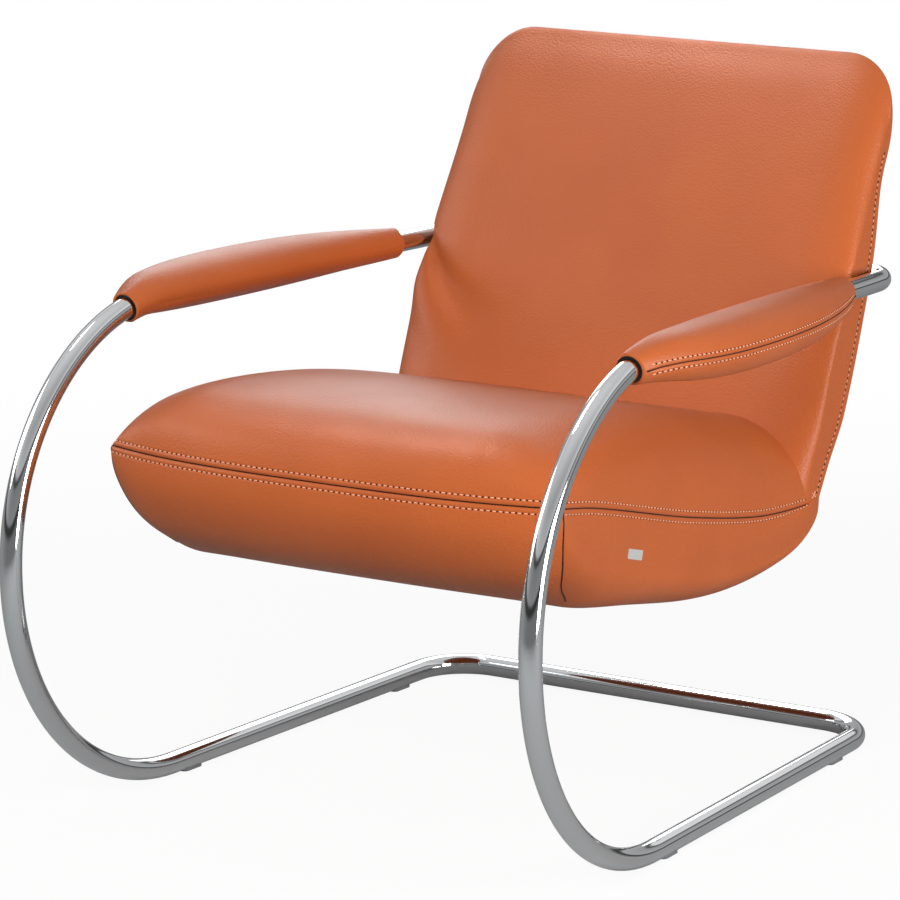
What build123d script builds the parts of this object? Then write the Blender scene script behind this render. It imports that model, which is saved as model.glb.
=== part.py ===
from build123d import *

import os
from math import atan, cos, hypot, pi, radians, sin, sqrt, tan

# Cantilever lounge chair: a chromed tube frame of two mirror-image bends, an upholstered
# seat-and-back body hung on the bar behind the back, and a padded leather sleeve on each arm.
# Millimetres. +Z is up, the sitter faces -Y, +X is to the sitter's left.
# Drawn with y = 0 at the bends' tangent; write() moves the origin under the chair's middle.

HALF_W = 291.0            # half width of the upholstered body at its front seam
SIDE_GAP = 24.0           # from the body's side to the centreline of the tube beside it

# ---- chromed tube frame ----
TUBE_D = 25.0             # outside diameter of the tube
TUBE_WALL = 2.5
GLIDE_H = 2.0             # the glides hold the tube this far above the floor
GAUGE = HALF_W + SIDE_GAP # half the distance between the two side loops, at y = 0 on the floor
TOE_OUT = 0.0412          # the loops spread by this much per millimetre forwards
LEAN_OUT = 0.0056         # and by this much per millimetre upwards
FRONT_Y = -373.5          # foremost point of the tube's centreline
FLOOR_BAR_Y = 467.0       # centreline of the bar on the floor
BACK_BAR_Y = 495.0        # centreline of the bar behind the back
ARM_Z = 571.0             # height at which the arm's centreline would meet the front
ARM_SLOPE = 0.0207        # the arm falls by this much per millimetre to the rear
LOWER_BEND_R = 280.0      # big front bends, on the centreline
UPPER_BEND_R = 269.5
FLOOR_CORNER_R = 68.0
BACK_CORNER_R = 50.0

SLEEVE_L = 120.0          # plug inside the joint of each bar
SLEEVE_FIT = 0.15         # radial gap between plug and tube
SLEEVE_WALL = 2.0
SCREW_AT = 35.0           # screws of a joint, each side of the middle
SCREW_D = 5.0
HOLE_FIT = 0.15           # radial gap round a screw or stud

GLIDE_L = 34.0            # plastic glides under the rails
GLIDE_W = 12.0
GLIDE_STUD_D = 6.0
GLIDE_WRAP = 2.0          # height of the saddle's lips along the tube
GLIDE_YS = (-60.0, 360.0)

# ---- arm pads ----
PAD_FRONT_Y = -163.0
PAD_REAR_Y = 378.0
PAD_RING_L = 4.0          # black ring in the front mouth of the leather
PAD_BORE_FIT = 0.15
PAD_MARGIN = 5.0          # leather and stuffing over the tube where the pad is slimmest
SLIM_R = TUBE_D / 2 + PAD_MARGIN
PAD_REACH = 66.0          # from the tube's axis to the fullest section's outer seam
PAD_RISE = 30.0           # height of the fullest section over the tube's axis
# the slimmest cross-section, in shares of its radius, and the fullest one, in shares of its
# width and rise: x away from the sitter and height, with the seam at the fifth point
SLIM = ((-1.0, 0.0), (-0.514, 0.857), (0.171, 0.983), (0.743, 0.669), (0.994, -0.057),
        (0.829, -0.560), (0.400, -0.914), (-0.114, -0.994), (-0.629, -0.777))
FULL = ((0.0, 0.0), (0.102, 0.617), (0.473, 1.0), (0.832, 0.700), (1.0, -0.133),
        (0.928, -0.767), (0.725, -1.133), (0.449, -0.900), (0.138, -0.567))
PAD_MIDDLE = 0.273        # the pad's stuffing is centred at this share of its reach
# how far along the pad each section lies, and how full it is
PAD_SECTIONS = ((0.0, 0.03), (0.09, 0.50), (0.19, 0.80), (0.31, 0.96), (0.45, 1.0), (0.61, 0.93),
                (0.76, 0.72), (0.88, 0.43), (0.955, 0.19), (1.0, 0.02))

# ---- upholstered body, leather outside ----
LEATHER = 1.6
FOAM_GAP = 0.3            # between leather and foam, and round other hidden pieces
TAPER = 0.0135            # the sides close in by this much per millimetre to the rear
FRONT_SEAM_Y = -275.0     # front seam, in the middle
CORNER_Y = -241.0         # front seam, at the corners
FRONT_SEAM_Z = 419.5
SIDE_SEAM_END = (330.0, 328.0)   # y, z where the side seam meets the back
SIDE_SEAM_SAG = 22.0
CREASE = (322.0, 406.0)   # y, z where the seat meets the back
CREASE_GAP = 0.6          # between the seat's rear and the back's front
SEAM_GAP = 0.06           # between the side leather and the panels sewn to it
SHOULDER = (-180.0, 488.0)       # y, z where the front roll ends
CROWN = ((-90.0, 486.0), (10.0, 474.0), (110.0, 455.0), (210.0, 432.0))
SEAT_ROLL = 100.0         # width of the seat's rounded side, seam to crown
HULL_ROLL = 60.0          # width over which the underside curls up to the side bands
# the underside from the rear sweep to the front: y, z in the middle, then at the sides
SWEEP = ((345.0, 296.0, 343.0, 300.0), (306.0, 262.0, 306.0, 274.0), (252.0, 244.0, 250.0, 266.0))
BOTTOM = ((100.0, 241.0, 100.0, 276.0), (-40.0, 265.0, -40.0, 306.0), (-150.0, 287.0, -130.0, 332.0))
# the front below its seam: set back from the seam, z in the middle, then at the sides
CURL = ((70.0, 304.0, 61.0, 346.0), (32.0, 328.0, 33.0, 364.0), (7.0, 360.0, 13.0, 383.0),
        (-3.0, 392.0, 2.0, 403.0))

BACK_CROWN = 9.0
BACK_TOP = 804.0
BACK_FOOT = 317.0         # height of the back's lower end, inside the rear cover
BACK_ROLL = 46.0          # width of the back's rounded front edge
BACK_ROLL_DEPTH = 0.42    # share of the back's thickness that this edge takes
REAR_ROLL = 30.0          # the same for the rear edge
REAR_ROLL_DEPTH = 0.20
TOP_CORNER_R = 70.0
TOP_FRONT_DROP = 24.0     # rounding of the top edge
TOP_REAR_DROP = 12.0
REAR_LEAN = 0.314
REAR_LINE = ((515.0, 700.0), (487.0, 602.0), (461.0, 515.0), (438.0, 455.0), (411.0, 398.0),
             (379.0, 342.0), (345.0, 296.0))
BACK_TOP_T = 25.462       # thickness of the back at its top, before the rounding
REAR_TOP_Y = REAR_LINE[0][0] + REAR_LEAN * (BACK_TOP - REAR_LINE[0][1])
BACK_LEAN = (REAR_TOP_Y - BACK_TOP_T - CREASE[0]) / (BACK_TOP - CREASE[1])   # run over rise of the front
STATIONS = (0.0, 0.22, 0.44, 0.60, 0.72, 0.81, 0.88, 0.94, 0.98, 1.0)   # shares of the half width
TAG_AT = (-87.0, 339.0)   # y, z of the bare metal tag on the left side
TAG_L = 32.0
TAG_H = 11.0
TAG_T = 0.8
TAG_TILT = 15.0

# ---- hidden steel frame of the upholstery, straps and mounting ----
RAIL_X = 230.0            # half the distance between the rails' centrelines
RAIL_D = 18.0
RAIL_WALL = 1.5
RAIL_INSET = 19.0         # the uprights' centreline lies this far before the rear face
RAIL_FRONT = (-205.0, 352.0)     # y, z of the rails' front ends
RAIL_FALL = 0.0586        # the seat rails fall by this much per millimetre to the rear
RAIL_BEND_R = 185.0
RAIL_TOP_DROP = 62.0      # the uprights end this far below the top of the back
RAIL_TOP_Z = BACK_TOP - RAIL_TOP_DROP
FRONT_CROSS_Y = -190.0
REAR_CROSS_Y = 222.0
TOP_CROSS_DROP = 14.0     # the top tube lies this far below the uprights' ends
TOP_CROSS_Z = RAIL_TOP_Z - TOP_CROSS_DROP
STRAP_W = 60.0
STRAP_T = 2.0
STRAP_TAIL = 25.0
SEAT_STRAPS = (-135.0, -57.0, 21.0, 99.0, 177.0)
STRAP_UNDER = 48.0        # middle of the strap below the tube that the blocks hang on
STRAP_OVER = 69.0         # and of the first strap above it
STRAP_PITCH = 68.0
STRAP_DROP = 38.0         # the last strap's middle lies at least this far below the top tube
MOUNT_X = 150.0           # mounting blocks, each side of the middle
BLOCK_W = 40.0
BLOCK_H = 24.0
SADDLE_BACK = 4.0         # the block's saddles stop this far before the tubes' centres
BOLT_D = 8.0
BOLT_HEAD_D = 14.0
BOLT_HEAD_T = 4.5
BOLT_END = 2.0            # the bolt's end stands this far out of its nut
WASHER_D = 16.0
WASHER_T = 2.0
NUT_W = 13.0
NUT_T = 6.5


def roll(x, start, end):
    """0 inside start, 1 at end, along a quarter of an ellipse."""
    share = min(max((abs(x) - start) / (end - start), 0.0), 1.0)
    return 1.0 - sqrt(1.0 - share * share)


def side_seam_z(y):
    share = (y - CORNER_Y) / (SIDE_SEAM_END[0] - CORNER_Y)
    share = min(max(share, 0.0), 1.0)
    chord = FRONT_SEAM_Z + (SIDE_SEAM_END[1] - FRONT_SEAM_Z) * share
    return chord - SIDE_SEAM_SAG * 4.0 * share * (1.0 - share)


def front_y(z):
    """Front face of the back in the middle, at height z."""
    share = min(max((z - CREASE[1]) / (BACK_TOP - CREASE[1]), 0.0), 1.0)
    return CREASE[0] + BACK_LEAN * (z - CREASE[1]) - BACK_CROWN * sin(pi * share)


def rear_y(z):
    """Rear face of the back in the middle, at height z."""
    first_y, first_z = REAR_LINE[0]
    line = ((first_y + REAR_LEAN * (BACK_TOP - first_z), BACK_TOP),) + REAR_LINE
    for (y1, z1), (y0, z0) in zip(line, line[1:]):
        if z >= z0:
            return y0 + (y1 - y0) * (z - z0) / (z1 - z0)
    return REAR_LINE[-1][0]


def face_y(z, x, inset):
    """Front face of the back at height z and width x, with its rounded side."""
    half = HALF_W - inset
    depth = BACK_ROLL_DEPTH * (rear_y(z) - front_y(z))
    return front_y(z) + inset + depth * roll(x, half - BACK_ROLL, half)


def heel_y(z, x, inset):
    """Rear face of the back at height z and width x, with its rounded side."""
    half = HALF_W - inset
    depth = REAR_ROLL_DEPTH * (rear_y(z) - front_y(z))
    return rear_y(z) - inset - depth * roll(x, half - REAR_ROLL, half)


def seat_crown(x, inset):
    """The seat's top from the front seam to the crease, as points in y and z."""
    half = HALF_W - inset
    crown_roll = roll(x, half - SEAT_ROLL, half)

    def settle(y, z):
        top = z - inset
        return (y, top + (side_seam_z(y) - top) * crown_roll)

    seam_y, seam_z = front_seam(x, inset)
    shoulder = settle(*SHOULDER)
    front_roll = [(seam_y + (shoulder[0] - seam_y) * (1 - cos(a)), seam_z + (shoulder[1] - seam_z) * sin(a))
                  for a in (radians(28), radians(60))]
    crease_z = settle(*SIDE_SEAM_END if crown_roll == 1.0 else CREASE)[1]
    crease = (face_y(crease_z, x, 0.0) - CREASE_GAP, crease_z)
    return [(seam_y, seam_z)] + front_roll + [shoulder] + [settle(y, z) for y, z in CROWN] + [crease]


def front_seam(x, inset):
    seam_y = FRONT_SEAM_Y + (CORNER_Y - FRONT_SEAM_Y) * (abs(x) / HALF_W) ** 3
    return (seam_y + inset, FRONT_SEAM_Z - 0.8 * inset)


def hull(points, x, inset):
    """Points of the underside at width x, where it curls up to the side bands."""
    half = HALF_W - inset
    curl = roll(x, half - HULL_ROLL, half)
    return [(y + (side_y - y) * curl, inset + z + (side_z - z) * curl) for y, z, side_y, side_z in points]


def seat_sweep(x, inset):
    """From the back's foot down and forward to the lowest point."""
    steep = [(y - inset, z) for y, z in hull(SWEEP[:2], x, inset)]
    return [(heel_y(BACK_FOOT, x, inset), BACK_FOOT)] + steep + hull(SWEEP[2:], x, inset)


def seat_under(x, inset):
    return seat_sweep(x, inset)[-1:] + hull(BOTTOM, x, inset)


def seat_curl(x, inset):
    """From the underside up to the front seam."""
    seam_y = front_seam(x, inset)[0]
    rise = [(seam_y + y, z) for y, z in hull(CURL, x, inset)]
    return seat_under(x, inset)[-1:] + rise + [front_seam(x, inset)]


def back_front(x, inset):
    high = back_top(x, inset) - TOP_FRONT_DROP
    return [(face_y(z, x, inset), z) for z in (BACK_FOOT, CREASE[1], 0.5 * (CREASE[1] + high), high)]


def back_top(x, inset):
    half = HALF_W - inset
    return BACK_TOP - inset - TOP_CORNER_R * roll(x, half - TOP_CORNER_R, half)


def back_cap(x, inset):
    first = back_front(x, inset)[-1]
    last = back_rear(x, inset)[0]
    return [first, (first[0] + 0.55 * (last[0] - first[0]) + 4.0, back_top(x, inset) - 1.0), last]


def back_rear(x, inset):
    high = back_top(x, inset) - TOP_REAR_DROP
    heights = (high, 0.62 * high + 0.38 * CREASE[1], 0.25 * high + 0.75 * CREASE[1], CREASE[1],
               0.5 * (CREASE[1] + BACK_FOOT), BACK_FOOT)
    return [(heel_y(z, x, inset), z) for z in heights]


def side_plane(x):
    """Upright plane of one section: its x is the body's y, its y is the body's z."""
    taper = TAPER * x / HALF_W
    return Plane(origin=(x + taper * CORNER_Y, 0, 0), x_dir=(-taper, 1, 0), z_dir=(1, taper, 0))


def across(outline, half):
    """A loft from side to side through the outlines that a function gives for each width."""
    shares = [-s for s in reversed(STATIONS[1:])] + list(STATIONS)
    return loft([side_plane(s * half) * make_face(Wire(outline(s * half))) for s in shares])


def seat_block(inset):
    """The seat as one solid, its rear just clear of the back's front."""
    def outline(x):
        crown = seat_crown(x, inset)
        sweep = seat_sweep(x, inset)
        foot_z = BACK_FOOT - CREASE_GAP
        sweep[0] = (sweep[0][0], foot_z)
        foot = (face_y(BACK_FOOT, x, 0.0) - CREASE_GAP, foot_z)
        return [Spline(*crown), Line(crown[-1], foot), Line(foot, sweep[0]), Spline(*sweep),
                Spline(*seat_under(x, inset)), Spline(*seat_curl(x, inset))]
    return across(outline, HALF_W - inset)


def back_block(inset):
    def outline(x):
        front, rear = back_front(x, inset), back_rear(x, inset)
        return [Spline(*front), Spline(*back_cap(x, inset)), Spline(*rear), Line(rear[-1], front[0])]
    return across(outline, HALF_W - inset)


def leather_panel(*curves):
    """Leather that follows curves from side to side, as thick as LEATHER."""
    def outline(x):
        outer = [curve(x, 0.0) for curve in curves]
        inner = [curve(x, LEATHER) for curve in curves]
        edges = [Spline(*points) for points in outer] + [Line(outer[-1][-1], inner[-1][-1])]
        edges += [Spline(*reversed(points)) for points in reversed(inner)]
        return edges + [Line(inner[0][0], outer[0][0])]
    return across(outline, HALF_W - LEATHER)


def side_panel(block, side, thickness):
    """The flat leather of one side: the end face of a block, made thick inwards."""
    end = max(block.faces(), key=lambda face: side * face.center().X)
    return extrude(end, thickness, dir=(-side, 0, 0))


def rail_y(z):
    """Centreline of the hidden frame's uprights, at height z."""
    high_y, high_z = REAR_LINE[0]
    return high_y - RAIL_INSET - REAR_LEAN * (high_z - z)


def rail_z(y):
    """Centreline of the hidden frame's seat rails, at y."""
    return RAIL_FRONT[1] - RAIL_FALL * (y - RAIL_FRONT[0])


def arm_z(y):
    return ARM_Z - ARM_SLOPE * (y - FRONT_Y)


def loop_point(y, z):
    """A point of the left arm's side loop, which toes out and leans out."""
    return Vector(GAUGE - TOE_OUT * y + LEAN_OUT * z, y, z)


def rounded_path(points, radii):
    """Straight runs through points, joined by arcs of the given radii."""
    edges = []
    last = points[0]
    for before, corner, after, radius in zip(points, points[1:], points[2:], radii):
        to_before = (before - corner).normalized()
        to_after = (after - corner).normalized()
        half_angle = radians(to_before.get_angle(to_after)) / 2
        tangent = radius / tan(half_angle)
        middle = (to_before + to_after).normalized()
        centre = corner + middle * (radius / sin(half_angle))
        first = corner + to_before * tangent
        edges.append(Line(last, first))
        last = corner + to_after * tangent
        edges.append(ThreePointArc(first, centre - middle * radius, last))
    edges.append(Line(last, points[-1]))
    return Wire(edges)


def tube_along(path, outer_r, inner_r=0.0):
    profile = Circle(outer_r)
    if inner_r:
        profile -= Circle(inner_r)
    start = Plane(origin=path @ 0, z_dir=path % 0)
    return sweep(start * profile, path=path)


def rod(centre, direction, radius, length):
    """A cylinder about a point, along a direction."""
    return Plane(origin=centre, z_dir=direction) * Cylinder(radius, length)


def both_sides(solid):
    return [solid, mirror(solid, about=Plane.YZ)]


def prism(points, half_width):
    """A side outline in y and z, as wide as the given half width on each side."""
    outline = make_face(Polyline(*points, close=True))
    return extrude(Plane(origin=(0, 0, 0), x_dir=(0, 1, 0), z_dir=(1, 0, 0)) * outline, half_width,
                   both=True)


# ---- chromed tube frame ----
def frame_path():
    z = GLIDE_H + TUBE_D / 2
    points = [Vector(0, FLOOR_BAR_Y, z), loop_point(FLOOR_BAR_Y, z), loop_point(FRONT_Y, z),
              loop_point(FRONT_Y, ARM_Z), loop_point(BACK_BAR_Y, arm_z(BACK_BAR_Y)),
              Vector(0, BACK_BAR_Y, arm_z(BACK_BAR_Y))]
    return rounded_path(points, (FLOOR_CORNER_R, LOWER_BEND_R, UPPER_BEND_R, BACK_CORNER_R))


FLOOR_BAR = Vector(0, FLOOR_BAR_Y, GLIDE_H + TUBE_D / 2)
BACK_BAR = Vector(0, BACK_BAR_Y, arm_z(BACK_BAR_Y))
RAIL_DIRECTION = (loop_point(0, 0) - loop_point(1, 0)).normalized()


def joint_screws(radius, length_fit=0.0):
    """Screws of the two bar joints: from below in the floor bar, from behind in the back bar."""
    length = TUBE_WALL + SLEEVE_FIT + SLEEVE_WALL
    reach = TUBE_D / 2 - length / 2
    screws = []
    for x in (-SCREW_AT, SCREW_AT):
        screws.append(rod(FLOOR_BAR + Vector(x, 0, -reach), (0, 0, 1), radius, length + length_fit))
        screws.append(rod(BACK_BAR + Vector(x, reach, 0), (0, 1, 0), radius, length + length_fit))
    return screws


def glides(side):
    pieces = []
    for y in GLIDE_YS:
        axis = loop_point(y, GLIDE_H + TUBE_D / 2)
        plane = Plane(origin=(axis.X, axis.Y, 0), x_dir=RAIL_DIRECTION, z_dir=(0, 0, 1))
        foot = extrude(plane * SlotOverall(GLIDE_L, GLIDE_W), GLIDE_H + GLIDE_WRAP)
        foot -= rod(axis, RAIL_DIRECTION, TUBE_D / 2, 2 * GLIDE_L)
        stud = GLIDE_H + TUBE_WALL + 1.0
        foot += plane * Cylinder(GLIDE_STUD_D / 2, stud, align=(Align.CENTER, Align.CENTER, Align.MIN))
        pieces.append(foot if side > 0 else mirror(foot, about=Plane.YZ))
    return pieces


def stud_holes():
    return [rod(loop_point(y, GLIDE_H), (0, 0, 1), GLIDE_STUD_D / 2 + HOLE_FIT, 4 * TUBE_WALL)
            for y in GLIDE_YS]


def frame_tube():
    tube = tube_along(frame_path(), TUBE_D / 2, TUBE_D / 2 - TUBE_WALL)
    for hole in stud_holes() + joint_screws(SCREW_D / 2 + HOLE_FIT, 1.0):
        tube -= hole
    return tube - rod(BACK_BAR + Vector(MOUNT_X, 0, 0), (0, 1, 0), BOLT_D / 2 + HOLE_FIT, 2 * TUBE_D)


def joint_sleeve(bar):
    outer_r = TUBE_D / 2 - TUBE_WALL - SLEEVE_FIT
    sleeve = rod(bar, (1, 0, 0), outer_r, SLEEVE_L) - rod(bar, (1, 0, 0), outer_r - SLEEVE_WALL, SLEEVE_L)
    for screw in joint_screws(SCREW_D / 2, 1.0):
        sleeve -= screw
    return sleeve


# ---- arm pads ----
def arm_axis(y):
    """Point on the tube's axis under the pad, and the direction towards the front."""
    arc_y = FRONT_Y + UPPER_BEND_R
    half_turn = (pi / 2 + atan(ARM_SLOPE)) / 2
    arc_z = ARM_Z - UPPER_BEND_R * tan(half_turn)
    tangent_y = arc_y + UPPER_BEND_R * sin(atan(ARM_SLOPE))
    if y >= tangent_y:
        return loop_point(y, arm_z(y)), loop_point(y, arm_z(y)) - loop_point(y + 1, arm_z(y + 1))
    height = sqrt(UPPER_BEND_R ** 2 - (y - arc_y) ** 2)
    slope = (arc_y - y) / height
    here = loop_point(y, arc_z + height)
    return here, here - loop_point(y + 1, arc_z + height + slope)


def pad_section(y, fullness, inset):
    centre = (PAD_MIDDLE * PAD_REACH * fullness, -PAD_RISE / 30)
    points = []
    for (slim_x, slim_z), (full_x, full_z) in zip(SLIM, FULL):
        full_x = full_x * (PAD_REACH + SLIM_R) - SLIM_R
        x = slim_x * SLIM_R + (full_x - slim_x * SLIM_R) * fullness
        z = slim_z * SLIM_R + (full_z * PAD_RISE - slim_z * SLIM_R) * fullness
        reach = hypot(x - centre[0], z - centre[1])
        keep = (reach - inset) / reach
        points.append((centre[0] + (x - centre[0]) * keep, centre[1] + (z - centre[1]) * keep))
    point, ahead = arm_axis(y)
    plane = Plane(origin=point, x_dir=(1, TOE_OUT, -LEAN_OUT), z_dir=ahead)
    over = Spline(*points[:5], tangents=((0, 1), (0, -1)))
    under = Spline(*points[4:], points[0], tangents=((0, -1), (0, 1)))
    return plane * make_face(Wire([over, under]))


def pad(inset, front_y, rear_y_end):
    length = PAD_REAR_Y - PAD_FRONT_Y
    faces = []
    for share, fullness in PAD_SECTIONS:
        y = min(max(PAD_FRONT_Y + share * length, front_y), rear_y_end)
        faces.append(pad_section(y, fullness, inset))
    return loft(faces)


def arm_pieces():
    """Foam core, leather sleeve and front ring of the left arm."""
    bore = tube_along(frame_path(), TUBE_D / 2 + PAD_BORE_FIT)
    leather = pad(0.0, PAD_FRONT_Y, PAD_REAR_Y) - pad(LEATHER, PAD_FRONT_Y, PAD_REAR_Y - LEATHER)
    core = pad(LEATHER + 3 * FOAM_GAP, PAD_FRONT_Y + PAD_RING_L, PAD_REAR_Y - LEATHER - FOAM_GAP)
    mouth, ahead = arm_axis(PAD_FRONT_Y)
    ring_r = SLIM_R - LEATHER - 3 * FOAM_GAP
    ring = Plane(origin=mouth, z_dir=-ahead) * Cylinder(
        ring_r, PAD_RING_L - FOAM_GAP, align=(Align.CENTER, Align.CENTER, Align.MIN))
    return core - bore, leather - bore, ring - bore


# ---- hidden frame of the upholstery ----
def rail_corner():
    """Where the seat rail and the upright would meet without their bend, in y and z."""
    z = (rail_z(0) - RAIL_FALL * rail_y(0)) / (1 + RAIL_FALL * REAR_LEAN)
    return rail_y(z), z


def body_rail():
    points = (RAIL_FRONT, rail_corner(), (rail_y(RAIL_TOP_Z), RAIL_TOP_Z))
    return rounded_path([Vector(RAIL_X, y, z) for y, z in points], (RAIL_BEND_R,))


def inside_bend(clear):
    """Points in y and z along the inner side of the rails' bend, clear of their centreline."""
    fall = atan(RAIL_FALL)
    turn = pi / 2 - atan(REAR_LEAN) + fall
    corner_y, corner_z = rail_corner()
    tangent = RAIL_BEND_R * tan(turn / 2)
    centre_y = corner_y - tangent * cos(fall) + RAIL_BEND_R * sin(fall)
    centre_z = corner_z + tangent * sin(fall) + RAIL_BEND_R * cos(fall)
    reach = RAIL_BEND_R - clear
    angles = [turn * share / 4 - fall for share in range(5)]
    return [(centre_y + reach * sin(a), centre_z - reach * cos(a)) for a in angles]


def cross_tube(y, z, rail_run):
    """A tube between the rails, its ends coped to them; rail_run is the rails' direction there."""
    tube = rod((0, y, z), (1, 0, 0), RAIL_D / 2, 2 * RAIL_X)
    tube -= rod((0, y, z), (1, 0, 0), RAIL_D / 2 - RAIL_WALL, 2 * RAIL_X)
    for x in (-RAIL_X, RAIL_X):
        tube -= rod((x, y, z), rail_run, RAIL_D / 2, 4 * RAIL_D)
    return max(tube.solids(), key=lambda piece: piece.volume)


def strap(y, z, direction):
    """An elastic strap from rail to rail, folded round both."""
    plane = Plane(origin=(0, y, z), x_dir=(1, 0, 0), z_dir=direction)
    middle = RAIL_D / 2 + STRAP_T / 2
    profile = Pos(0, middle) * Rectangle(2 * RAIL_X, STRAP_T)
    for side in (-1, 1):
        fold = Circle(RAIL_D / 2 + STRAP_T) - Circle(RAIL_D / 2)
        fold -= Pos(-side * RAIL_D, 0) * Rectangle(2 * RAIL_D, 2 * RAIL_D)
        tail = Pos(-side * STRAP_TAIL / 2, -middle) * Rectangle(STRAP_TAIL, STRAP_T)
        profile += Pos(side * RAIL_X, 0) * (fold + tail)
    return extrude(plane * profile, STRAP_W / 2, both=True)


# ---- leather and foam of the body ----
def mount_window():
    """The holes that the mounting blocks pass through, in padding and leather."""
    size = (BLOCK_W + 2 * FOAM_GAP, 4 * TUBE_D, BLOCK_H + 2 * FOAM_GAP)
    return [Pos(x, BACK_BAR_Y - TUBE_D, arm_z(BACK_BAR_Y)) * Box(*size) for x in (-MOUNT_X, MOUNT_X)]


def leather_panels():
    seat, back = seat_block(0.0), back_block(0.0)
    front = leather_panel(back_front, back_cap)
    for side in (-1, 1):
        front += side_panel(back, side, LEATHER + SEAM_GAP)
    rear = leather_panel(back_rear)
    for window in mount_window():
        rear -= window
    return {
        "seat_top_cover": leather_panel(seat_crown),
        "front_band": leather_panel(seat_curl),
        "back_rear_cover": rear,
        "underside_cover": leather_panel(seat_sweep, seat_under),
        "side_band_left": side_panel(seat, 1, LEATHER - SEAM_GAP),
        "side_band_right": side_panel(seat, -1, LEATHER - SEAM_GAP),
        "back_front_cover": front,
    }


def above_rails(bottom):
    return [(0, bottom), (2 * BACK_TOP, bottom), (2 * BACK_TOP, 2 * BACK_TOP), (0, 2 * BACK_TOP)]


def foams():
    """Seat and back foam, with a pocket for the hidden frame, and the padding behind it."""
    lining = LEATHER + FOAM_GAP
    clear = RAIL_D / 2 + STRAP_T + FOAM_GAP
    slant = sqrt(1 + REAR_LEAN ** 2)
    start = RAIL_FRONT[0] - clear
    top = RAIL_TOP_Z + clear
    floor = [(start, 0), (start, rail_z(start) + clear)] + inside_bend(clear)
    wall = [(rail_y(top) - clear * slant, top), (2 * BACK_TOP, top), (2 * BACK_TOP, 0)]
    pocket = prism(floor + wall, RAIL_X + clear + FOAM_GAP)
    back = back_block(lining) - pocket
    for x in (-MOUNT_X, MOUNT_X):
        z = arm_z(BACK_BAR_Y)
        back -= rod((x, rail_y(z) - RAIL_D / 2, z), (0, 1, 0), NUT_W / 2 + 1.0, 2 * (NUT_T + BOLT_END + 1.0))

    face = back_rear(0.0, 0.0)
    outer = [(y - lining, z) for y, z in face]
    inner = [(y - RAIL_INSET + (RAIL_D / 2 + STRAP_T) * slant + FOAM_GAP, z) for y, z in face]
    edges = [Spline(*outer), Line(outer[-1], inner[-1]), Spline(*reversed(inner)), Line(inner[0], outer[0])]
    padding = extrude(side_plane(0.0) * make_face(Wire(edges)), RAIL_X, both=True)
    for cut in mount_window() + [prism(above_rails(top), 2 * RAIL_X)]:
        padding -= cut
    return {"seat_foam": seat_block(lining) - pocket, "back_foam": back, "rear_padding": padding}


def tag():
    plate = RectangleRounded(TAG_L, TAG_H, 1.0)
    plane = side_plane(HALF_W) * Plane(origin=(TAG_AT[0], TAG_AT[1], 0)) * Rot(0, 0, -TAG_TILT)
    return extrude(plane * plate, TAG_T)


# ---- mounting of the body on the back bar ----
def mounting():
    blocks, bolts, nuts, washers = [], [], [], []
    z = arm_z(BACK_BAR_Y)
    tube_y = rail_y(z)
    for x in (-MOUNT_X, MOUNT_X):
        bar = Vector(x, BACK_BAR_Y, z)
        near, far = tube_y + SADDLE_BACK, BACK_BAR_Y - SADDLE_BACK
        block = Pos(x, (near + far) / 2, z) * Box(BLOCK_W, far - near, BLOCK_H)
        block -= rod(bar, (1, 0, 0), TUBE_D / 2, 2 * BLOCK_W)
        block -= rod((x, tube_y, z), (1, 0, 0), RAIL_D / 2, 2 * BLOCK_W)
        block -= rod(bar, (0, 1, 0), BOLT_D / 2 + HOLE_FIT, 8 * TUBE_D)
        blocks.append(block)
        seat_y = BACK_BAR_Y + TUBE_D / 2 + WASHER_T
        washer = rod((x, seat_y - 1.5 * WASHER_T, z), (0, 1, 0), WASHER_D / 2, 3 * WASHER_T)
        washer -= rod(bar, (1, 0, 0), TUBE_D / 2, 2 * BLOCK_W)
        washer -= rod(bar, (0, 1, 0), BOLT_D / 2 + HOLE_FIT, 8 * TUBE_D)
        washers.append(max(washer.solids(), key=lambda piece: piece.center().Y))
        nut_y = tube_y - RAIL_D / 2
        end_y = nut_y - NUT_T - BOLT_END
        shank = rod((x, (seat_y + end_y) / 2, z), (0, 1, 0), BOLT_D / 2, seat_y - end_y)
        head = rod((x, seat_y + BOLT_HEAD_T / 2, z), (0, 1, 0), BOLT_HEAD_D / 2, BOLT_HEAD_T)
        socket = extrude(Plane(origin=(x, seat_y + BOLT_HEAD_T, z), z_dir=(0, -1, 0))
                         * RegularPolygon(BOLT_D * 0.36, 6), BOLT_HEAD_T * 0.6)
        bolts.append(shank + head - socket)
        nut = extrude(Plane(origin=(x, nut_y, z), z_dir=(0, -1, 0)) * RegularPolygon(NUT_W / 2, 6), NUT_T)
        nuts.append(nut - rod(bar, (0, 1, 0), BOLT_D / 2, 8 * TUBE_D))
    return {"mounting_blocks": blocks, "mounting_bolts": bolts, "mounting_nuts": nuts,
            "saddle_washers": washers}


def solids_of(shape):
    return [solid for item in (shape if isinstance(shape, list) else [shape]) for solid in item.solids()]


def back_strap_heights(mount_z):
    """One strap below the tube that carries the blocks, the others above it at their pitch."""
    room = TOP_CROSS_Z - STRAP_DROP - mount_z - STRAP_OVER
    above = int((room + 1.0) // STRAP_PITCH) + 1
    return [mount_z - STRAP_UNDER] + [mount_z + STRAP_OVER + n * STRAP_PITCH for n in range(above)]


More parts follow.
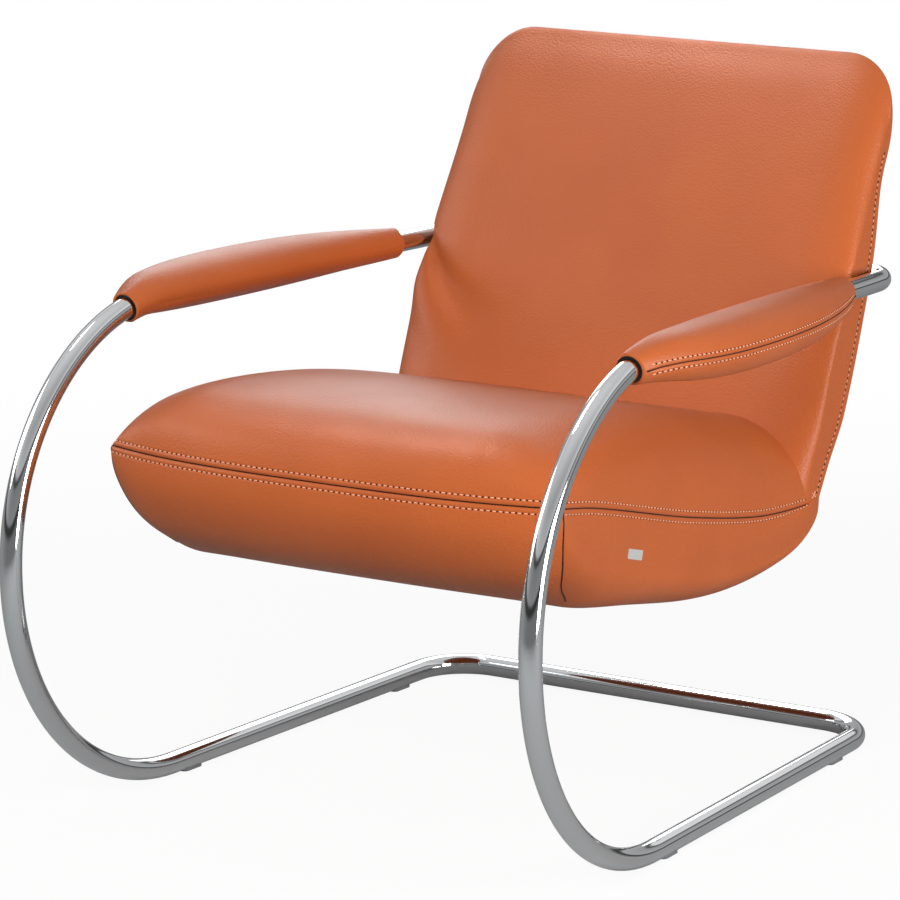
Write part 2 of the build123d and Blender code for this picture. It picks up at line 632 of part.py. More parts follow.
def write(pieces):
    """One file per piece or group of like pieces, with the origin under the middle of the chair."""
    boxes = [solid.bounding_box() for shape in pieces.values() for solid in solids_of(shape)]
    middle = (min(box.min.Y for box in boxes) + max(box.max.Y for box in boxes)) / 2
    for name, shape in pieces.items():
        solids = [Pos(0, -middle, 0) * solid for solid in solids_of(shape)]
        export_step(solids[0] if len(solids) == 1 else Compound(children=solids), f"parts/{name}.step")


def build():
    pieces = {}
    tube = frame_tube()
    pieces["frame_tube_left"], pieces["frame_tube_right"] = both_sides(tube)
    pieces["floor_joint_sleeve"] = joint_sleeve(FLOOR_BAR)
    pieces["back_joint_sleeve"] = joint_sleeve(BACK_BAR)
    pieces["joint_screws"] = joint_screws(SCREW_D / 2)
    pieces["floor_glides"] = glides(1) + glides(-1)

    core, leather, ring = arm_pieces()
    pieces["arm_core_left"], pieces["arm_core_right"] = both_sides(core)
    pieces["arm_cover_left"], pieces["arm_cover_right"] = both_sides(leather)
    pieces["arm_rings"] = both_sides(ring)

    path = body_rail()
    seat_run = Vector(0, -1, RAIL_FALL)
    back_run = Vector(0, -REAR_LEAN, -1)
    rail = tube_along(path, RAIL_D / 2, RAIL_D / 2 - RAIL_WALL)
    pieces["body_rail_left"], pieces["body_rail_right"] = both_sides(rail)
    mount_z = arm_z(BACK_BAR_Y)
    pieces["front_cross_tube"] = cross_tube(FRONT_CROSS_Y, rail_z(FRONT_CROSS_Y), seat_run)
    pieces["seat_cross_tube"] = cross_tube(REAR_CROSS_Y, rail_z(REAR_CROSS_Y), seat_run)
    pieces["mount_cross_tube"] = cross_tube(rail_y(mount_z), mount_z, back_run)
    pieces["top_cross_tube"] = cross_tube(rail_y(TOP_CROSS_Z), TOP_CROSS_Z, back_run)
    for x in (-MOUNT_X, MOUNT_X):
        pieces["mount_cross_tube"] -= rod((x, rail_y(mount_z), mount_z), (0, 1, 0),
                                          BOLT_D / 2 + HOLE_FIT, 2 * RAIL_D)
    pieces["seat_straps"] = [strap(y, rail_z(y), seat_run) for y in SEAT_STRAPS]
    pieces["back_straps"] = [strap(rail_y(z), z, back_run) for z in back_strap_heights(mount_z)]

    pieces.update(leather_panels())
    pieces.update(foams())
    pieces.update(mounting())
    pieces["metal_tag"] = tag()
    return pieces


os.makedirs("parts", exist_ok=True)
write(build())
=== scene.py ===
# %% [markdown]
# # A cantilever lounge chair in cognac leather
# The real chair has three visible parts. One chromed tube loop stands on the floor, sweeps up at
# the front and becomes both arms. An upholstered seat and back hang on the bar behind the back.
# A padded leather sleeve sits on each arm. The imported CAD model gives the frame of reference,
# so everything here is worked out from the chair's own sizes, in millimetres.

import bmesh
import bpy
import numpy as np
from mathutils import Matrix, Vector


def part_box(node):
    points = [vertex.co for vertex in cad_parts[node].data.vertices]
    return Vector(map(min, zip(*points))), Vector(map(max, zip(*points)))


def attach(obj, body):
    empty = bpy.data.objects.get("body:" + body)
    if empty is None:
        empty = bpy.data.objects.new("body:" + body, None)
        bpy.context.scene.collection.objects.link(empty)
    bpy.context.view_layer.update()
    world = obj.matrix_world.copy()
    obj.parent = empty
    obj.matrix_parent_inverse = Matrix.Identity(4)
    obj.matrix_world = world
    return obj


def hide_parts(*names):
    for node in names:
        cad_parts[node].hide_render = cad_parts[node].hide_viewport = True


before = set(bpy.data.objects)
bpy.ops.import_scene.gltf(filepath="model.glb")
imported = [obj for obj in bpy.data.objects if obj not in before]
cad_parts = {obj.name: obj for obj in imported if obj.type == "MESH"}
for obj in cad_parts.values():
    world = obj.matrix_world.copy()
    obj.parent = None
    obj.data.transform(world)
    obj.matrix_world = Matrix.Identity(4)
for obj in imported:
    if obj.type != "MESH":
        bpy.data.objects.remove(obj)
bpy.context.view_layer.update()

# %% [markdown]
# ## Where things are
# The chair was drawn with y = 0 near the start of its arms, and its origin was then moved under
# the middle of the chair. One function moves every drawn point there and turns it into metres.

# %% From the drawing to the scene
MIDDLE_Y = 78.94          # the drawing's y that lies at the scene's y = 0
DRAWN_FRONT = -386.0      # the drawing's y of the tube's foremost point


def to_scene(points):
    """Drawing millimetres to scene metres: y less the middle, then all over a thousand."""
    return (np.asarray(points, float) - [0.0, MIDDLE_Y, 0.0]) / 1000.0


front_of_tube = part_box("frame_tube_left")[0][1]
print("front of the tube:", round(front_of_tube, 4), "drawn:", to_scene([0, DRAWN_FRONT, 0])[1])

# %% [markdown]
# ## Grids become meshes
# Each leather panel is a surface of two parameters, so it is worked out as a grid of points.
# The helpers below turn grids into one mesh, and weld borders that lie on each other, so that
# a cushion is one closed skin. Welding is better than overlapping sheets, because the
# mesh then has no stray edges.

# %% From a grid to a piece
def grid_faces(rows, columns, start=0):
    """Quads of a grid of points, counted row by row: each joins a point to its next neighbours."""
    first = start + np.arange(rows * columns).reshape(rows, columns)
    corners = (first[:-1, :-1], first[1:, :-1], first[1:, 1:], first[:-1, 1:])
    return np.stack([c.ravel() for c in corners], axis=1)


def mesh_piece(name, vertices, faces, material):
    """A new smooth object from an array of points in metres and a list of faces."""
    mesh = bpy.data.meshes.new(name)
    mesh.from_pydata(np.asarray(vertices).tolist(), [], faces)
    mesh.polygons.foreach_set("use_smooth", np.ones(len(mesh.polygons), bool))
    piece = bpy.data.objects.new(name, mesh)
    bpy.context.scene.collection.objects.link(piece)
    mesh.materials.append(material)
    return piece


print("a grid of 3 x 4 points has", len(grid_faces(3, 4)), "quads")

# %% Closed skins
WELD = 0.00002            # metres: points nearer than this become one


def welded(piece):
    """Merges points that lie on each other and makes all faces point outwards."""
    skin = bmesh.new()
    skin.from_mesh(piece.data)
    bmesh.ops.remove_doubles(skin, verts=skin.verts, dist=WELD)
    bmesh.ops.dissolve_degenerate(skin, edges=skin.edges, dist=WELD / 10)
    bmesh.ops.recalc_face_normals(skin, faces=skin.faces)
    open_edges = sum(1 for edge in skin.edges if len(edge.link_faces) != 2)
    skin.to_mesh(piece.data)
    skin.free()
    print(piece.name, "faces:", len(piece.data.polygons), "open edges:", open_edges)
    return piece


def closed_piece(name, grids, material):
    """One closed skin from several grids whose borders lie on each other."""
    vertices, faces, count = [], [], 0
    for grid in grids:
        rows, columns = grid.shape[:2]
        vertices.append(grid.reshape(-1, 3))
        faces.append(grid_faces(rows, columns, count))
        count += rows * columns
    points = to_scene(np.concatenate(vertices))
    return welded(mesh_piece(name, points, np.concatenate(faces).tolist(), material))


print("borders are welded within", WELD * 1000, "mm")

# %% Round cords
CORD_SIDES = 8
SLANTED = (0.31, 0.22, 0.93)     # a direction that no cord takes


def cord_piece(name, lines, radius, material):
    """Round cords of one radius along lines of points, each with a tip at its start and open at its
    far end. The circle's two directions at a point are the line's direction crossed with a slanted
    one, and again."""
    turn = np.linspace(0, 2 * np.pi, CORD_SIDES + 1)
    grids = []
    for line in lines:
        line = np.asarray(line, float)
        ahead = np.gradient(line, axis=0)
        ahead /= np.linalg.norm(ahead, axis=1, keepdims=True)
        across = np.cross(ahead, SLANTED)
        across /= np.linalg.norm(across, axis=1, keepdims=True)
        circle = (np.cos(turn)[None, :, None] * across[:, None]
                  + np.sin(turn)[None, :, None] * np.cross(ahead, across)[:, None])
        grid = line[:, None] + radius * circle
        grid[:, -1] = grid[:, 0]
        tip = np.broadcast_to(line[0] - ahead[0] * radius, (1, CORD_SIDES + 1, 3))
        grids.append(np.concatenate([tip, grid]))
    return closed_piece(name, grids, material)


print("a cord has", CORD_SIDES, "sides")

# %% [markdown]
# ## Curves through a few points
# An upholsterer's outline is known at a few points and smooth between them. A cubic spline
# through the points is that curve. Because it is linear in its points, it can be written as one
# table of weights, and the table times the points gives the curve for a hundred widths at once.

# %% Spline weights
def spline_weights(knots, at, closed=False):
    """Weights W so that W @ points is the cubic spline through points at the knots.

    The second slopes M solve the usual three-term system, with M = 0 at both ends, or joined
    ends if closed. Between two knots the curve is the chord plus a cubic in M."""
    knots, at = np.asarray(knots, float), np.asarray(at, float)
    count = len(knots) - 1 if closed else len(knots)
    step = np.diff(knots)
    system, right = np.zeros((count, count)), np.zeros((count, count))
    inner = np.arange(count) if closed else np.arange(1, count - 1)
    before, after = step[inner - 1], step[inner % len(step)]
    left, next_one = (inner - 1) % count, (inner + 1) % count
    system[inner, left] = before
    system[inner, inner] = 2 * (before + after)
    system[inner, next_one] = after
    right[inner, left] += 6 / before
    right[inner, inner] -= 6 / before + 6 / after
    right[inner, next_one] += 6 / after
    if not closed:
        system[0, 0] = system[-1, -1] = 1
    slopes = np.linalg.solve(system, right)
    place = np.clip(np.searchsorted(knots, at, side="right") - 1, 0, len(step) - 1)
    following = (place + 1) % count
    h = step[place]
    b = (at - knots[place]) / h
    a = 1 - b
    one = np.eye(count)
    return (a[:, None] * one[place] + b[:, None] * one[following]
            + ((a ** 3 - a) * h * h / 6)[:, None] * slopes[place]
            + ((b ** 3 - b) * h * h / 6)[:, None] * slopes[following])


print("weights at one place add up to", round(spline_weights([0, 1, 3], [0.5]).sum(), 6))

# %% Spacing, lengths and normals
def knots_of(points):
    """Spacing of a spline's knots: the length of the chords between its points, from 0 to 1."""
    chords = np.linalg.norm(np.diff(points, axis=0), axis=1)
    return np.concatenate([[0], np.cumsum(chords)]) / chords.sum()


def eased(count, closeness):
    """Numbers t from 0 to 1, closer together near both ends: t less closeness times the sine of a
    full turn of t, over two pi."""
    t = np.linspace(0, 1, count)
    return t - closeness * np.sin(2 * np.pi * t) / (2 * np.pi)


def run_length(grid, axis):
    """Length along each line of a grid, from its start, in millimetres."""
    steps = np.linalg.norm(np.diff(grid, axis=axis), axis=-1)
    zero = np.zeros_like(np.take(steps, [0], axis=axis))
    return np.concatenate([zero, np.cumsum(steps, axis=axis)], axis=axis)


def from_ends(grid):
    """Length along each row of a grid to the nearer of its two ends, in millimetres."""
    length = run_length(grid, 1)
    return np.minimum(length, length[:, -1:] - length)


def normals_of(grid, outwards):
    """Unit normals of a grid, from the cross product of its two slopes, turned to one side."""
    n = np.cross(np.gradient(grid, axis=0), np.gradient(grid, axis=1))
    n /= np.maximum(np.linalg.norm(n, axis=-1, keepdims=True), 1e-9)
    middle = n[n.shape[0] // 2, n.shape[1] // 2]
    return n if middle @ np.asarray(outwards, float) > 0 else -n


print("five eased numbers:", eased(5, 0.9).round(3))

# %% [markdown]
# ## Colours and nodes
# Colours are picked as the eye sees them, in hex. Blender works with linear light, so one
# function converts them. Another adds a node with its settings and links: every material
# below is built with it.

# %% Helpers for materials
def linear(hex_colour):
    """sRGB hex to linear RGBA, by the sRGB curve."""
    value = np.array([int(hex_colour[i:i + 2], 16) for i in (1, 3, 5)]) / 255
    low, high = value / 12.92, ((value + 0.055) / 1.055) ** 2.4
    return (*np.where(value <= 0.04045, low, high).tolist(), 1.0)


def add_node(material, kind, links=None, settings=None, **inputs):
    """Adds a node, sets its properties and sockets, and links sockets to other nodes' outputs."""
    node = material.node_tree.nodes.new(kind)
    for name, value in (settings or {}).items():
        setattr(node, name, value)
    for name, value in inputs.items():
        node.inputs[name.replace("_", " ")].default_value = value
    for name, output in (links or {}).items():
        material.node_tree.links.new(output, node.inputs[name])
    return node


def new_material(name):
    """An empty node material, its shader and its Object coordinates."""
    material = bpy.data.materials.new(name)
    material.use_nodes = True
    shader = material.node_tree.nodes["Principled BSDF"]
    place = add_node(material, "ShaderNodeTexCoord").outputs["Object"]
    return material, shader, place


print("mid grey in linear light:", round(linear("#808080")[0], 3))

# %% [markdown]
# ## Chrome
# The tube is steel, polished and then plated with bright chromium. That gives the eye an almost
# perfect mirror with a cool grey tone. Chromium reflects about two thirds of the light, and
# polishing leaves faint waves, so a very weak bump keeps the reflections from being perfect.

# %% Material: bright chrome plate on polished steel
CHROME_COLOUR = "#E3E5E6"
POLISH_WAVE = 0.030       # metres between the waves that the polishing wheel leaves

chrome, shader, place = new_material("bright chrome plate")
shader.inputs["Base Color"].default_value = linear(CHROME_COLOUR)
shader.inputs["Metallic"].default_value = 1.0
waves = add_node(chrome, "ShaderNodeTexNoise", {"Vector": place}, Scale=1 / POLISH_WAVE, Detail=1.0)
gloss = add_node(chrome, "ShaderNodeMapRange", {"Value": waves.outputs["Fac"]}, To_Min=0.045, To_Max=0.085)
bump = add_node(chrome, "ShaderNodeBump", {"Height": waves.outputs["Fac"]}, Strength=0.05, Distance=0.001)
chrome.node_tree.links.new(gloss.outputs["Result"], shader.inputs["Roughness"])
chrome.node_tree.links.new(bump.outputs["Normal"], shader.inputs["Normal"])
print(chrome.name, "has", len(chrome.node_tree.nodes), "nodes")

# %% [markdown]
# ## Leather
# The cover is thick, drum-dyed cowhide with a fine printed pebble grain and a soft wax finish.
# The dye gives a warm cognac that is a little uneven over a hide, the grain breaks the light
# into fine specks, and the finish lays a wide, pale sheen over it. Real pebbles are about
# 1 mm wide. That is under a pixel from where the camera stands, so they are drawn at 2.4 mm.

# %% Material: pebbled cognac cowhide
LEATHER_COLOUR = "#BD5F2D"
DEEP_COLOUR = "#AB5225"
PEBBLE = 0.0024           # metres across a drawn pebble
PATCHES = 9.0             # to the metre: the dye drifts over about 110 mm
STRETCHES = 120.0         # to the metre: the grain is pulled out of line over about 8 mm
PORES = 900.0             # to the metre: pores are about 1 mm apart


def pebbled_leather(name, colour, deep_colour):
    """Leather whose pebbles come from a cell pattern and whose dye varies over the hide."""
    leather, shader, place = new_material(name)
    hide = add_node(leather, "ShaderNodeTexNoise", {"Vector": place}, Scale=PATCHES, Detail=3.0)
    tone = add_node(leather, "ShaderNodeMapRange", {"Value": hide.outputs["Fac"]},
                    From_Min=0.3, From_Max=0.7, To_Min=0.0, To_Max=0.35)
    dye = add_node(leather, "ShaderNodeMix", {"Factor": tone.outputs["Result"]}, {"data_type": "RGBA"})
    dye.inputs[6].default_value, dye.inputs[7].default_value = linear(colour), linear(deep_colour)
    stretch = add_node(leather, "ShaderNodeTexNoise", {"Vector": place}, Scale=STRETCHES, Detail=2.0)
    pull = add_node(leather, "ShaderNodeVectorMath", {0: stretch.outputs["Color"]}, {"operation": "SCALE"},
                    Scale=0.004)
    moved = add_node(leather, "ShaderNodeVectorMath", {0: place, 1: pull.outputs["Vector"]})
    pebbles = add_node(leather, "ShaderNodeTexVoronoi", {"Vector": moved.outputs["Vector"]},
                       {"feature": "SMOOTH_F1"}, Scale=1 / PEBBLE, Smoothness=0.6)
    grain = add_node(leather, "ShaderNodeBump", {"Height": pebbles.outputs["Distance"]}, {"invert": True},
                     Strength=0.62, Distance=0.0006)
    fine = add_node(leather, "ShaderNodeTexNoise", {"Vector": place}, Scale=PORES, Detail=1.0)
    pores = add_node(leather, "ShaderNodeBump",
                     {"Height": fine.outputs["Fac"], "Normal": grain.outputs["Normal"]},
                     Strength=0.10, Distance=0.0003)
    wax = add_node(leather, "ShaderNodeMapRange", {"Value": hide.outputs["Fac"]}, To_Min=0.38, To_Max=0.50)
    leather.node_tree.links.new(dye.outputs[2], shader.inputs["Base Color"])
    leather.node_tree.links.new(wax.outputs["Result"], shader.inputs["Roughness"])
    leather.node_tree.links.new(pores.outputs["Normal"], shader.inputs["Normal"])
    shader.inputs["IOR"].default_value = 1.45
    shader.inputs["Specular IOR Level"].default_value = 0.42
    return leather


cowhide = pebbled_leather("pebbled cognac cowhide", LEATHER_COLOUR, DEEP_COLOUR)
print(cowhide.name, "with pebbles of", PEBBLE * 1000, "mm")

# %% [markdown]
# ## Thread, seam shadow, plastic and steel
# The topstitching is bonded polyester thread, a little lighter than the hide. At each stitch
# the needle leaves a small hole, and the shade in it is painted as a dark bead. The dark cord in
# each seam is painted shade in its groove. The feet and rings are plain moulded plastic, and the
# small plate on the side is satin stainless steel, left bare. Bolts are zinc-plated, which gives
# a grey, slightly dull mirror, and the hidden frame is coated black.

# %% Materials: thread, painted shade for needle holes and seams, plastics and steel
def plain_material(name, colour, roughness, metallic=0.0, grain=0.001, strength=0.05):
    """A finish of one colour whose surface has a fine, weak grain of the given size in metres."""
    material, shader, place = new_material(name)
    speck = add_node(material, "ShaderNodeTexNoise", {"Vector": place}, Scale=1 / grain, Detail=2.0)
    shade = add_node(material, "ShaderNodeMapRange", {"Value": speck.outputs["Fac"]},
                     To_Min=roughness * 0.85, To_Max=roughness * 1.15)
    relief = add_node(material, "ShaderNodeBump", {"Height": speck.outputs["Fac"]}, Strength=strength,
                      Distance=grain / 4)
    material.node_tree.links.new(shade.outputs["Result"], shader.inputs["Roughness"])
    material.node_tree.links.new(relief.outputs["Normal"], shader.inputs["Normal"])
    shader.inputs["Base Color"].default_value = linear(colour)
    shader.inputs["Metallic"].default_value = metallic
    return material


thread = plain_material("bonded polyester thread", "#F2AC86", 0.55, grain=0.0004, strength=0.3)
# Painted shade: dark beads in the needle holes and dark cords in the seams' grooves stand in for the shade
# there.
needle_hole_shade = plain_material("needle hole shade", "#3E170B", 0.8)
seam_shadow = plain_material("seam fold in shadow", "#2E1006", 0.85)
black_plastic = plain_material("moulded black polyamide", "#161616", 0.45)
grey_plastic = plain_material("moulded grey polyethylene", "#77787A", 0.4)
satin_steel = plain_material("satin stainless steel", "#E6E5E0", 0.48, metallic=0.75, grain=0.0006)
zinc_steel = plain_material("zinc-plated steel", "#BFC1C2", 0.3, metallic=1.0)
black_coat = plain_material("black powder coat on steel", "#1B1B1B", 0.5, grain=0.0008, strength=0.15)
webbing = plain_material("elastic polypropylene webbing", "#26262A", 0.9, grain=0.002, strength=0.4)
print("materials so far:", len(bpy.data.materials))

# %% [markdown]
# ## The tube
# A bending machine turns a straight tube round fixed formers, so the centreline is straight
# runs joined by arcs. Each arc is worked out from its corner: it touches both runs, and the
# distance from the corner to where it starts is the radius over the tangent of half the angle.
# A circle is then carried along the line. The tube meets its mirror image in the middle of
# both bars, so it is made once and mirrored.

# %% Sizes of the tube
TUBE_R = 12.5
AXIS_Z = 14.5             # height of the rail's centreline over the floor
GAUGE, TOE_OUT, LEAN_OUT = 315.0, 0.0412, 0.0056     # half the width, and how it grows forwards and up
FRONT_Y, FLOOR_BAR_Y, BACK_BAR_Y = -373.5, 467.0, 495.0
ARM_Z, ARM_SLOPE = 571.0, 0.0207
FLOOR_CORNER_R, LOWER_BEND_R, UPPER_BEND_R, BACK_CORNER_R = 68.0, 280.0, 269.5, 50.0
TUBE_STEP = 6.0           # spacing of the rings in the bends
print("outside of the front, mm:", 2 * (GAUGE - TOE_OUT * FRONT_Y + TUBE_R))

# %% Centreline of the left half
def loop_point(y, z):
    """A point of the side's plane: x is half the width, less the toe-out over y, plus the lean over z."""
    return np.array([GAUGE - TOE_OUT * y + LEAN_OUT * z, y, z])


def arm_height(y):
    """Height of the arm's straight run, which falls to the rear at the arm's slope."""
    return ARM_Z - ARM_SLOPE * (y - FRONT_Y)


def bent_line(corners, radii):
    """Points along straight runs joined by arcs. An arc's centre lies on the corner's bisector,
    at the radius over the sine of half the angle between the runs."""
    points, last = [], corners[0]
    for before, corner, after, radius in zip(corners, corners[1:], corners[2:], radii):
        back = (before - corner) / np.linalg.norm(before - corner)
        on = (after - corner) / np.linalg.norm(after - corner)
        half = np.arccos(back @ on) / 2
        middle = (back + on) / np.linalg.norm(back + on)
        centre = corner + middle * radius / np.sin(half)
        first = corner + back * radius / np.tan(half)
        count = max(2, int(np.linalg.norm(first - last) / (4 * TUBE_STEP)))
        points.append(last + (first - last) * np.linspace(0, 1, count, endpoint=False)[:, None])
        turn = np.pi - 2 * half
        angle = np.linspace(0, turn, max(6, int(radius * turn / TUBE_STEP)), endpoint=False)[:, None]
        points.append(centre + (first - centre) * np.cos(angle) + back * -radius * np.sin(angle))
        last = corner + on * radius / np.tan(half)
    points.append(np.linspace(last, corners[-1], 12))
    return np.concatenate(points)


corners = [np.array([0, FLOOR_BAR_Y, AXIS_Z]), loop_point(FLOOR_BAR_Y, AXIS_Z), loop_point(FRONT_Y, AXIS_Z),
           loop_point(FRONT_Y, ARM_Z), loop_point(BACK_BAR_Y, arm_height(BACK_BAR_Y)),
           np.array([0, BACK_BAR_Y, arm_height(BACK_BAR_Y)])]
centreline = bent_line(corners, (FLOOR_CORNER_R, LOWER_BEND_R, UPPER_BEND_R, BACK_CORNER_R))
print("tube length, one half, mm:", round(run_length(centreline, 0)[-1]))

# %% Carry a circle along the centreline
TUBE_SIDES = 48
SIDEWAYS = (1.0, 1.0, 1.0)       # a direction that the tube never takes
CRISP = np.radians(50)           # edges sharper than this stay crisp, as where the two halves meet


def tube_rings(line):
    """Rings round a line: centre + radius (u cos a + v sin a), where u and v are square to the
    line's direction. u comes from the cross product with a direction that the line never takes."""
    along = np.gradient(line, axis=0)
    along /= np.linalg.norm(along, axis=1, keepdims=True)
    u = np.cross(along, SIDEWAYS)
    u /= np.linalg.norm(u, axis=1, keepdims=True)
    v = np.cross(along, u)
    angle = np.linspace(0, 2 * np.pi, TUBE_SIDES + 1)[None, :, None]
    return line[:, None] + TUBE_R * (u[:, None] * np.cos(angle) + v[:, None] * np.sin(angle))


def mirrored(points):
    """The same points on the chair's other side."""
    return np.asarray(points) * [-1.0, 1.0, 1.0]


tube = tube_rings(centreline)
caps = np.stack([np.repeat(centreline[[0, -1]][:, None], TUBE_SIDES + 1, 1), tube[[0, -1]]])
for side, flip in (("left", np.asarray), ("right", mirrored)):
    piece = closed_piece(f"chromed_tube_{side}", [flip(tube), flip(caps[:, 0]), flip(caps[:, 1])], chrome)
    piece.data.set_sharp_from_angle(angle=CRISP)
    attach(piece, "root")
    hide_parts(f"frame_tube_{side}")

# %% [markdown]
# ## The seat
# The seat is a foam block in a tight leather skin: a crowned top panel, sewn to a boxing that
# runs round the front and sides and curls in under the block. Its outline from the side is
# known at a few points, in the middle and at the sides, and the shape rolls from one to the
# other along a quarter of an ellipse, as foam does under a stretched skin. So the surface is a
# spline from front to rear whose points depend on the width. All panels share their borders,
# and the piece is one closed skin.

# %% Outline of the seat
HALF_W = 291.0
TAPER = 0.0135            # how much each side closes in for every millimetre to the rear
FRONT_SEAM_Y, CORNER_Y, FRONT_SEAM_Z = -275.0, -241.0, 419.5
SIDE_SEAM = np.array([(-241.0, 419.5), (-168.0, 406.0), (-54.0, 377.0), (96.0, 342.0), (180.0, 326.0),
                      (260.0, 316.0), (330.0, 313.0)])
CREASE = (322.0, 406.0)                    # y and z where seat and back meet
SHOULDER, FRONT_TURN = (-180.0, 488.0), (0, 28, 60, 90)      # the front's quarter turn, in degrees
CROWN = ((-90.0, 486.0), (10.0, 474.0), (110.0, 455.0), (210.0, 432.0))
SEAT_ROLL, HULL_ROLL = 110.0, 60.0         # width beside the edge in which the shape rolls
SKIN_GAP = 0.6                             # between the seat's rear and the back's skin
# The hull's points: y and z in the middle, then y and z at the side. CURL counts y from the seam.
CURL = ((-3.0, 392.0, 2.0, 403.0), (7.0, 360.0, 13.0, 383.0), (32.0, 328.0, 33.0, 364.0),
        (70.0, 304.0, 61.0, 346.0))
UNDER = ((-150.0, 287.0, -130.0, 332.0), (-40.0, 265.0, -40.0, 306.0), (100.0, 241.0, 100.0, 276.0),
         (252.0, 244.0, 250.0, 266.0), (306.0, 262.0, 306.0, 274.0), (345.0, 296.0, 343.0, 300.0))
print("the seat's front seam lies at", FRONT_SEAM_Z, "mm, its shoulder at", SHOULDER[1], "mm")

# %% Outline of the back
BACK_LEAN, BACK_CROWN, BACK_TOP, BACK_FOOT = 0.503, 9.0, 804.0, 317.0
BACK_ROLL, BACK_ROLL_DEPTH = 62.0, 0.48    # width of the rolled front edge, and its share of the thickness
REAR_ROLL, REAR_ROLL_DEPTH = 30.0, 0.20
TOP_ROLL_HEIGHT, TOP_ROLL_DEPTH = 78.0, 0.52
TOP_CORNER_R = 70.0
HIPS_RISE, HIPS_FALL = (345.0, 405.0), (700.0, 550.0)        # heights where the hips begin and are full
HIP_FLATTER, HIP_WIDER = 0.24, 0.014       # shares by which their side edge is squarer and wider
REAR_LINE = np.array([(547.7, 804.0), (515.0, 700.0), (487.0, 602.0), (461.0, 515.0), (438.0, 455.0),
                      (411.0, 398.0), (379.0, 342.0), (345.0, 296.0)])
print("the back is", BACK_TOP - CREASE[1], "mm high over the crease")

# %% How the outline changes over the width
def roll(x, width):
    """0 in the middle, rising over the rolled width to 1 at the side, along a quarter of an ellipse."""
    share = np.clip((np.abs(x) - (HALF_W - width)) / width, 0, 1)
    return 1 - np.sqrt(np.maximum(1 - share * share, 0))


def side_seam_z(y):
    """Height of the side seam at y: a spline through the points of SIDE_SEAM."""
    y = np.clip(np.atleast_1d(y), SIDE_SEAM[0, 0], SIDE_SEAM[-1, 0])
    return spline_weights(SIDE_SEAM[:, 0], y) @ SIDE_SEAM[:, 1]


def seam_y(x):
    """The front seam runs back towards the sides, by the cube of the share of the half width."""
    return FRONT_SEAM_Y + (CORNER_Y - FRONT_SEAM_Y) * (np.abs(x) / HALF_W) ** 3


def to_body(x, y, z):
    """Points of the tapered body: the sides close in towards the rear."""
    return np.stack([x - TAPER * x / HALF_W * (y - CORNER_Y), y, z], axis=-1)


def widths(count, closeness, flat, rolled):
    """Places from side to side: even over the flat share, then by a quarter turn's sine over the
    rolled width, so that the columns crowd at the sides."""
    turn = eased(count, closeness) * 2 - 1
    share, inner = np.abs(turn), HALF_W - rolled
    outer = inner + rolled * np.sin((share - flat) / (1 - flat) * np.pi / 2)
    return np.sign(turn) * np.where(share < flat, share / flat * inner, outer)


print("side seam at mid length, mm:", side_seam_z(0.0).round(1))

# %% The back's two faces
def smooth_step(share):
    """3 s^2 - 2 s^3 of a share held between 0 and 1: it leaves 0 and reaches 1 level."""
    share = np.clip(share, 0, 1)
    return share * share * (3 - 2 * share)


def hips(z):
    """1 where the back is pressed wide, between seat and arms, fading to 0 above and below."""
    rise, fall = ((z - start) / (full - start) for start, full in (HIPS_RISE, HIPS_FALL))
    return smooth_step(rise) * smooth_step(fall)


def front_y(z):
    """The middle of the front face: a leaning line, crowned forwards by half a wave of the sine."""
    share = np.clip((z - CREASE[1]) / (BACK_TOP - CREASE[1]), 0, 1)
    return CREASE[0] + BACK_LEAN * (z - CREASE[1]) - BACK_CROWN * np.sin(np.pi * share)


def rear_y(z):
    """The middle of the rear face: straight between the points of REAR_LINE."""
    return np.interp(z, REAR_LINE[::-1, 1], REAR_LINE[::-1, 0])


def local_top(x):
    """Height of the back's top at each width: level, and down a quarter of a circle at the corners."""
    return BACK_TOP - TOP_CORNER_R * roll(x, TOP_CORNER_R)


def face_y(z, x):
    """Front face: its middle line, set back by a share of the thickness at the sides and at the top."""
    at_side = (BACK_ROLL_DEPTH - HIP_FLATTER * hips(z)) * roll(x, BACK_ROLL)
    at_top = TOP_ROLL_DEPTH * np.clip(1 - (local_top(x) - z) / TOP_ROLL_HEIGHT, 0, 1) ** 3
    return front_y(z) + (rear_y(z) - front_y(z)) * (1 - (1 - at_side) * (1 - at_top))


def heel_y(z, x):
    """Rear face: its middle line, brought forward by a share of the thickness at the sides."""
    return rear_y(z) - REAR_ROLL_DEPTH * (rear_y(z) - front_y(z)) * roll(x, REAR_ROLL)


print("thickness of the back at mid height, mm:", round(rear_y(600.0) - front_y(600.0), 1))

# %% Spline points of the top panel and the hull
def top_points(x):
    """The top panel's spline points at each width: a quarter turn up from the front seam, then the
    crown back to the crease. Towards the sides every point settles down to the side seam."""
    lift = roll(x, SEAT_ROLL)

    def settle(y, z):
        """The point's height less the lift's share of the way down to the side seam."""
        y = np.broadcast_to(y, x.shape)
        return np.stack([y, z + (side_seam_z(y) - z) * lift], -1)

    first = seam_y(x)
    front = [settle(first + (SHOULDER[0] - first) * (1 - np.cos(a)),
                    FRONT_SEAM_Z + (SHOULDER[1] - FRONT_SEAM_Z) * np.sin(a)) for a in np.radians(FRONT_TURN)]
    crease_z = settle(*CREASE)[:, 1]
    crease = np.stack([face_y(crease_z, x) - SKIN_GAP, crease_z], -1)
    return np.stack(front + [settle(*point) for point in CROWN] + [crease])


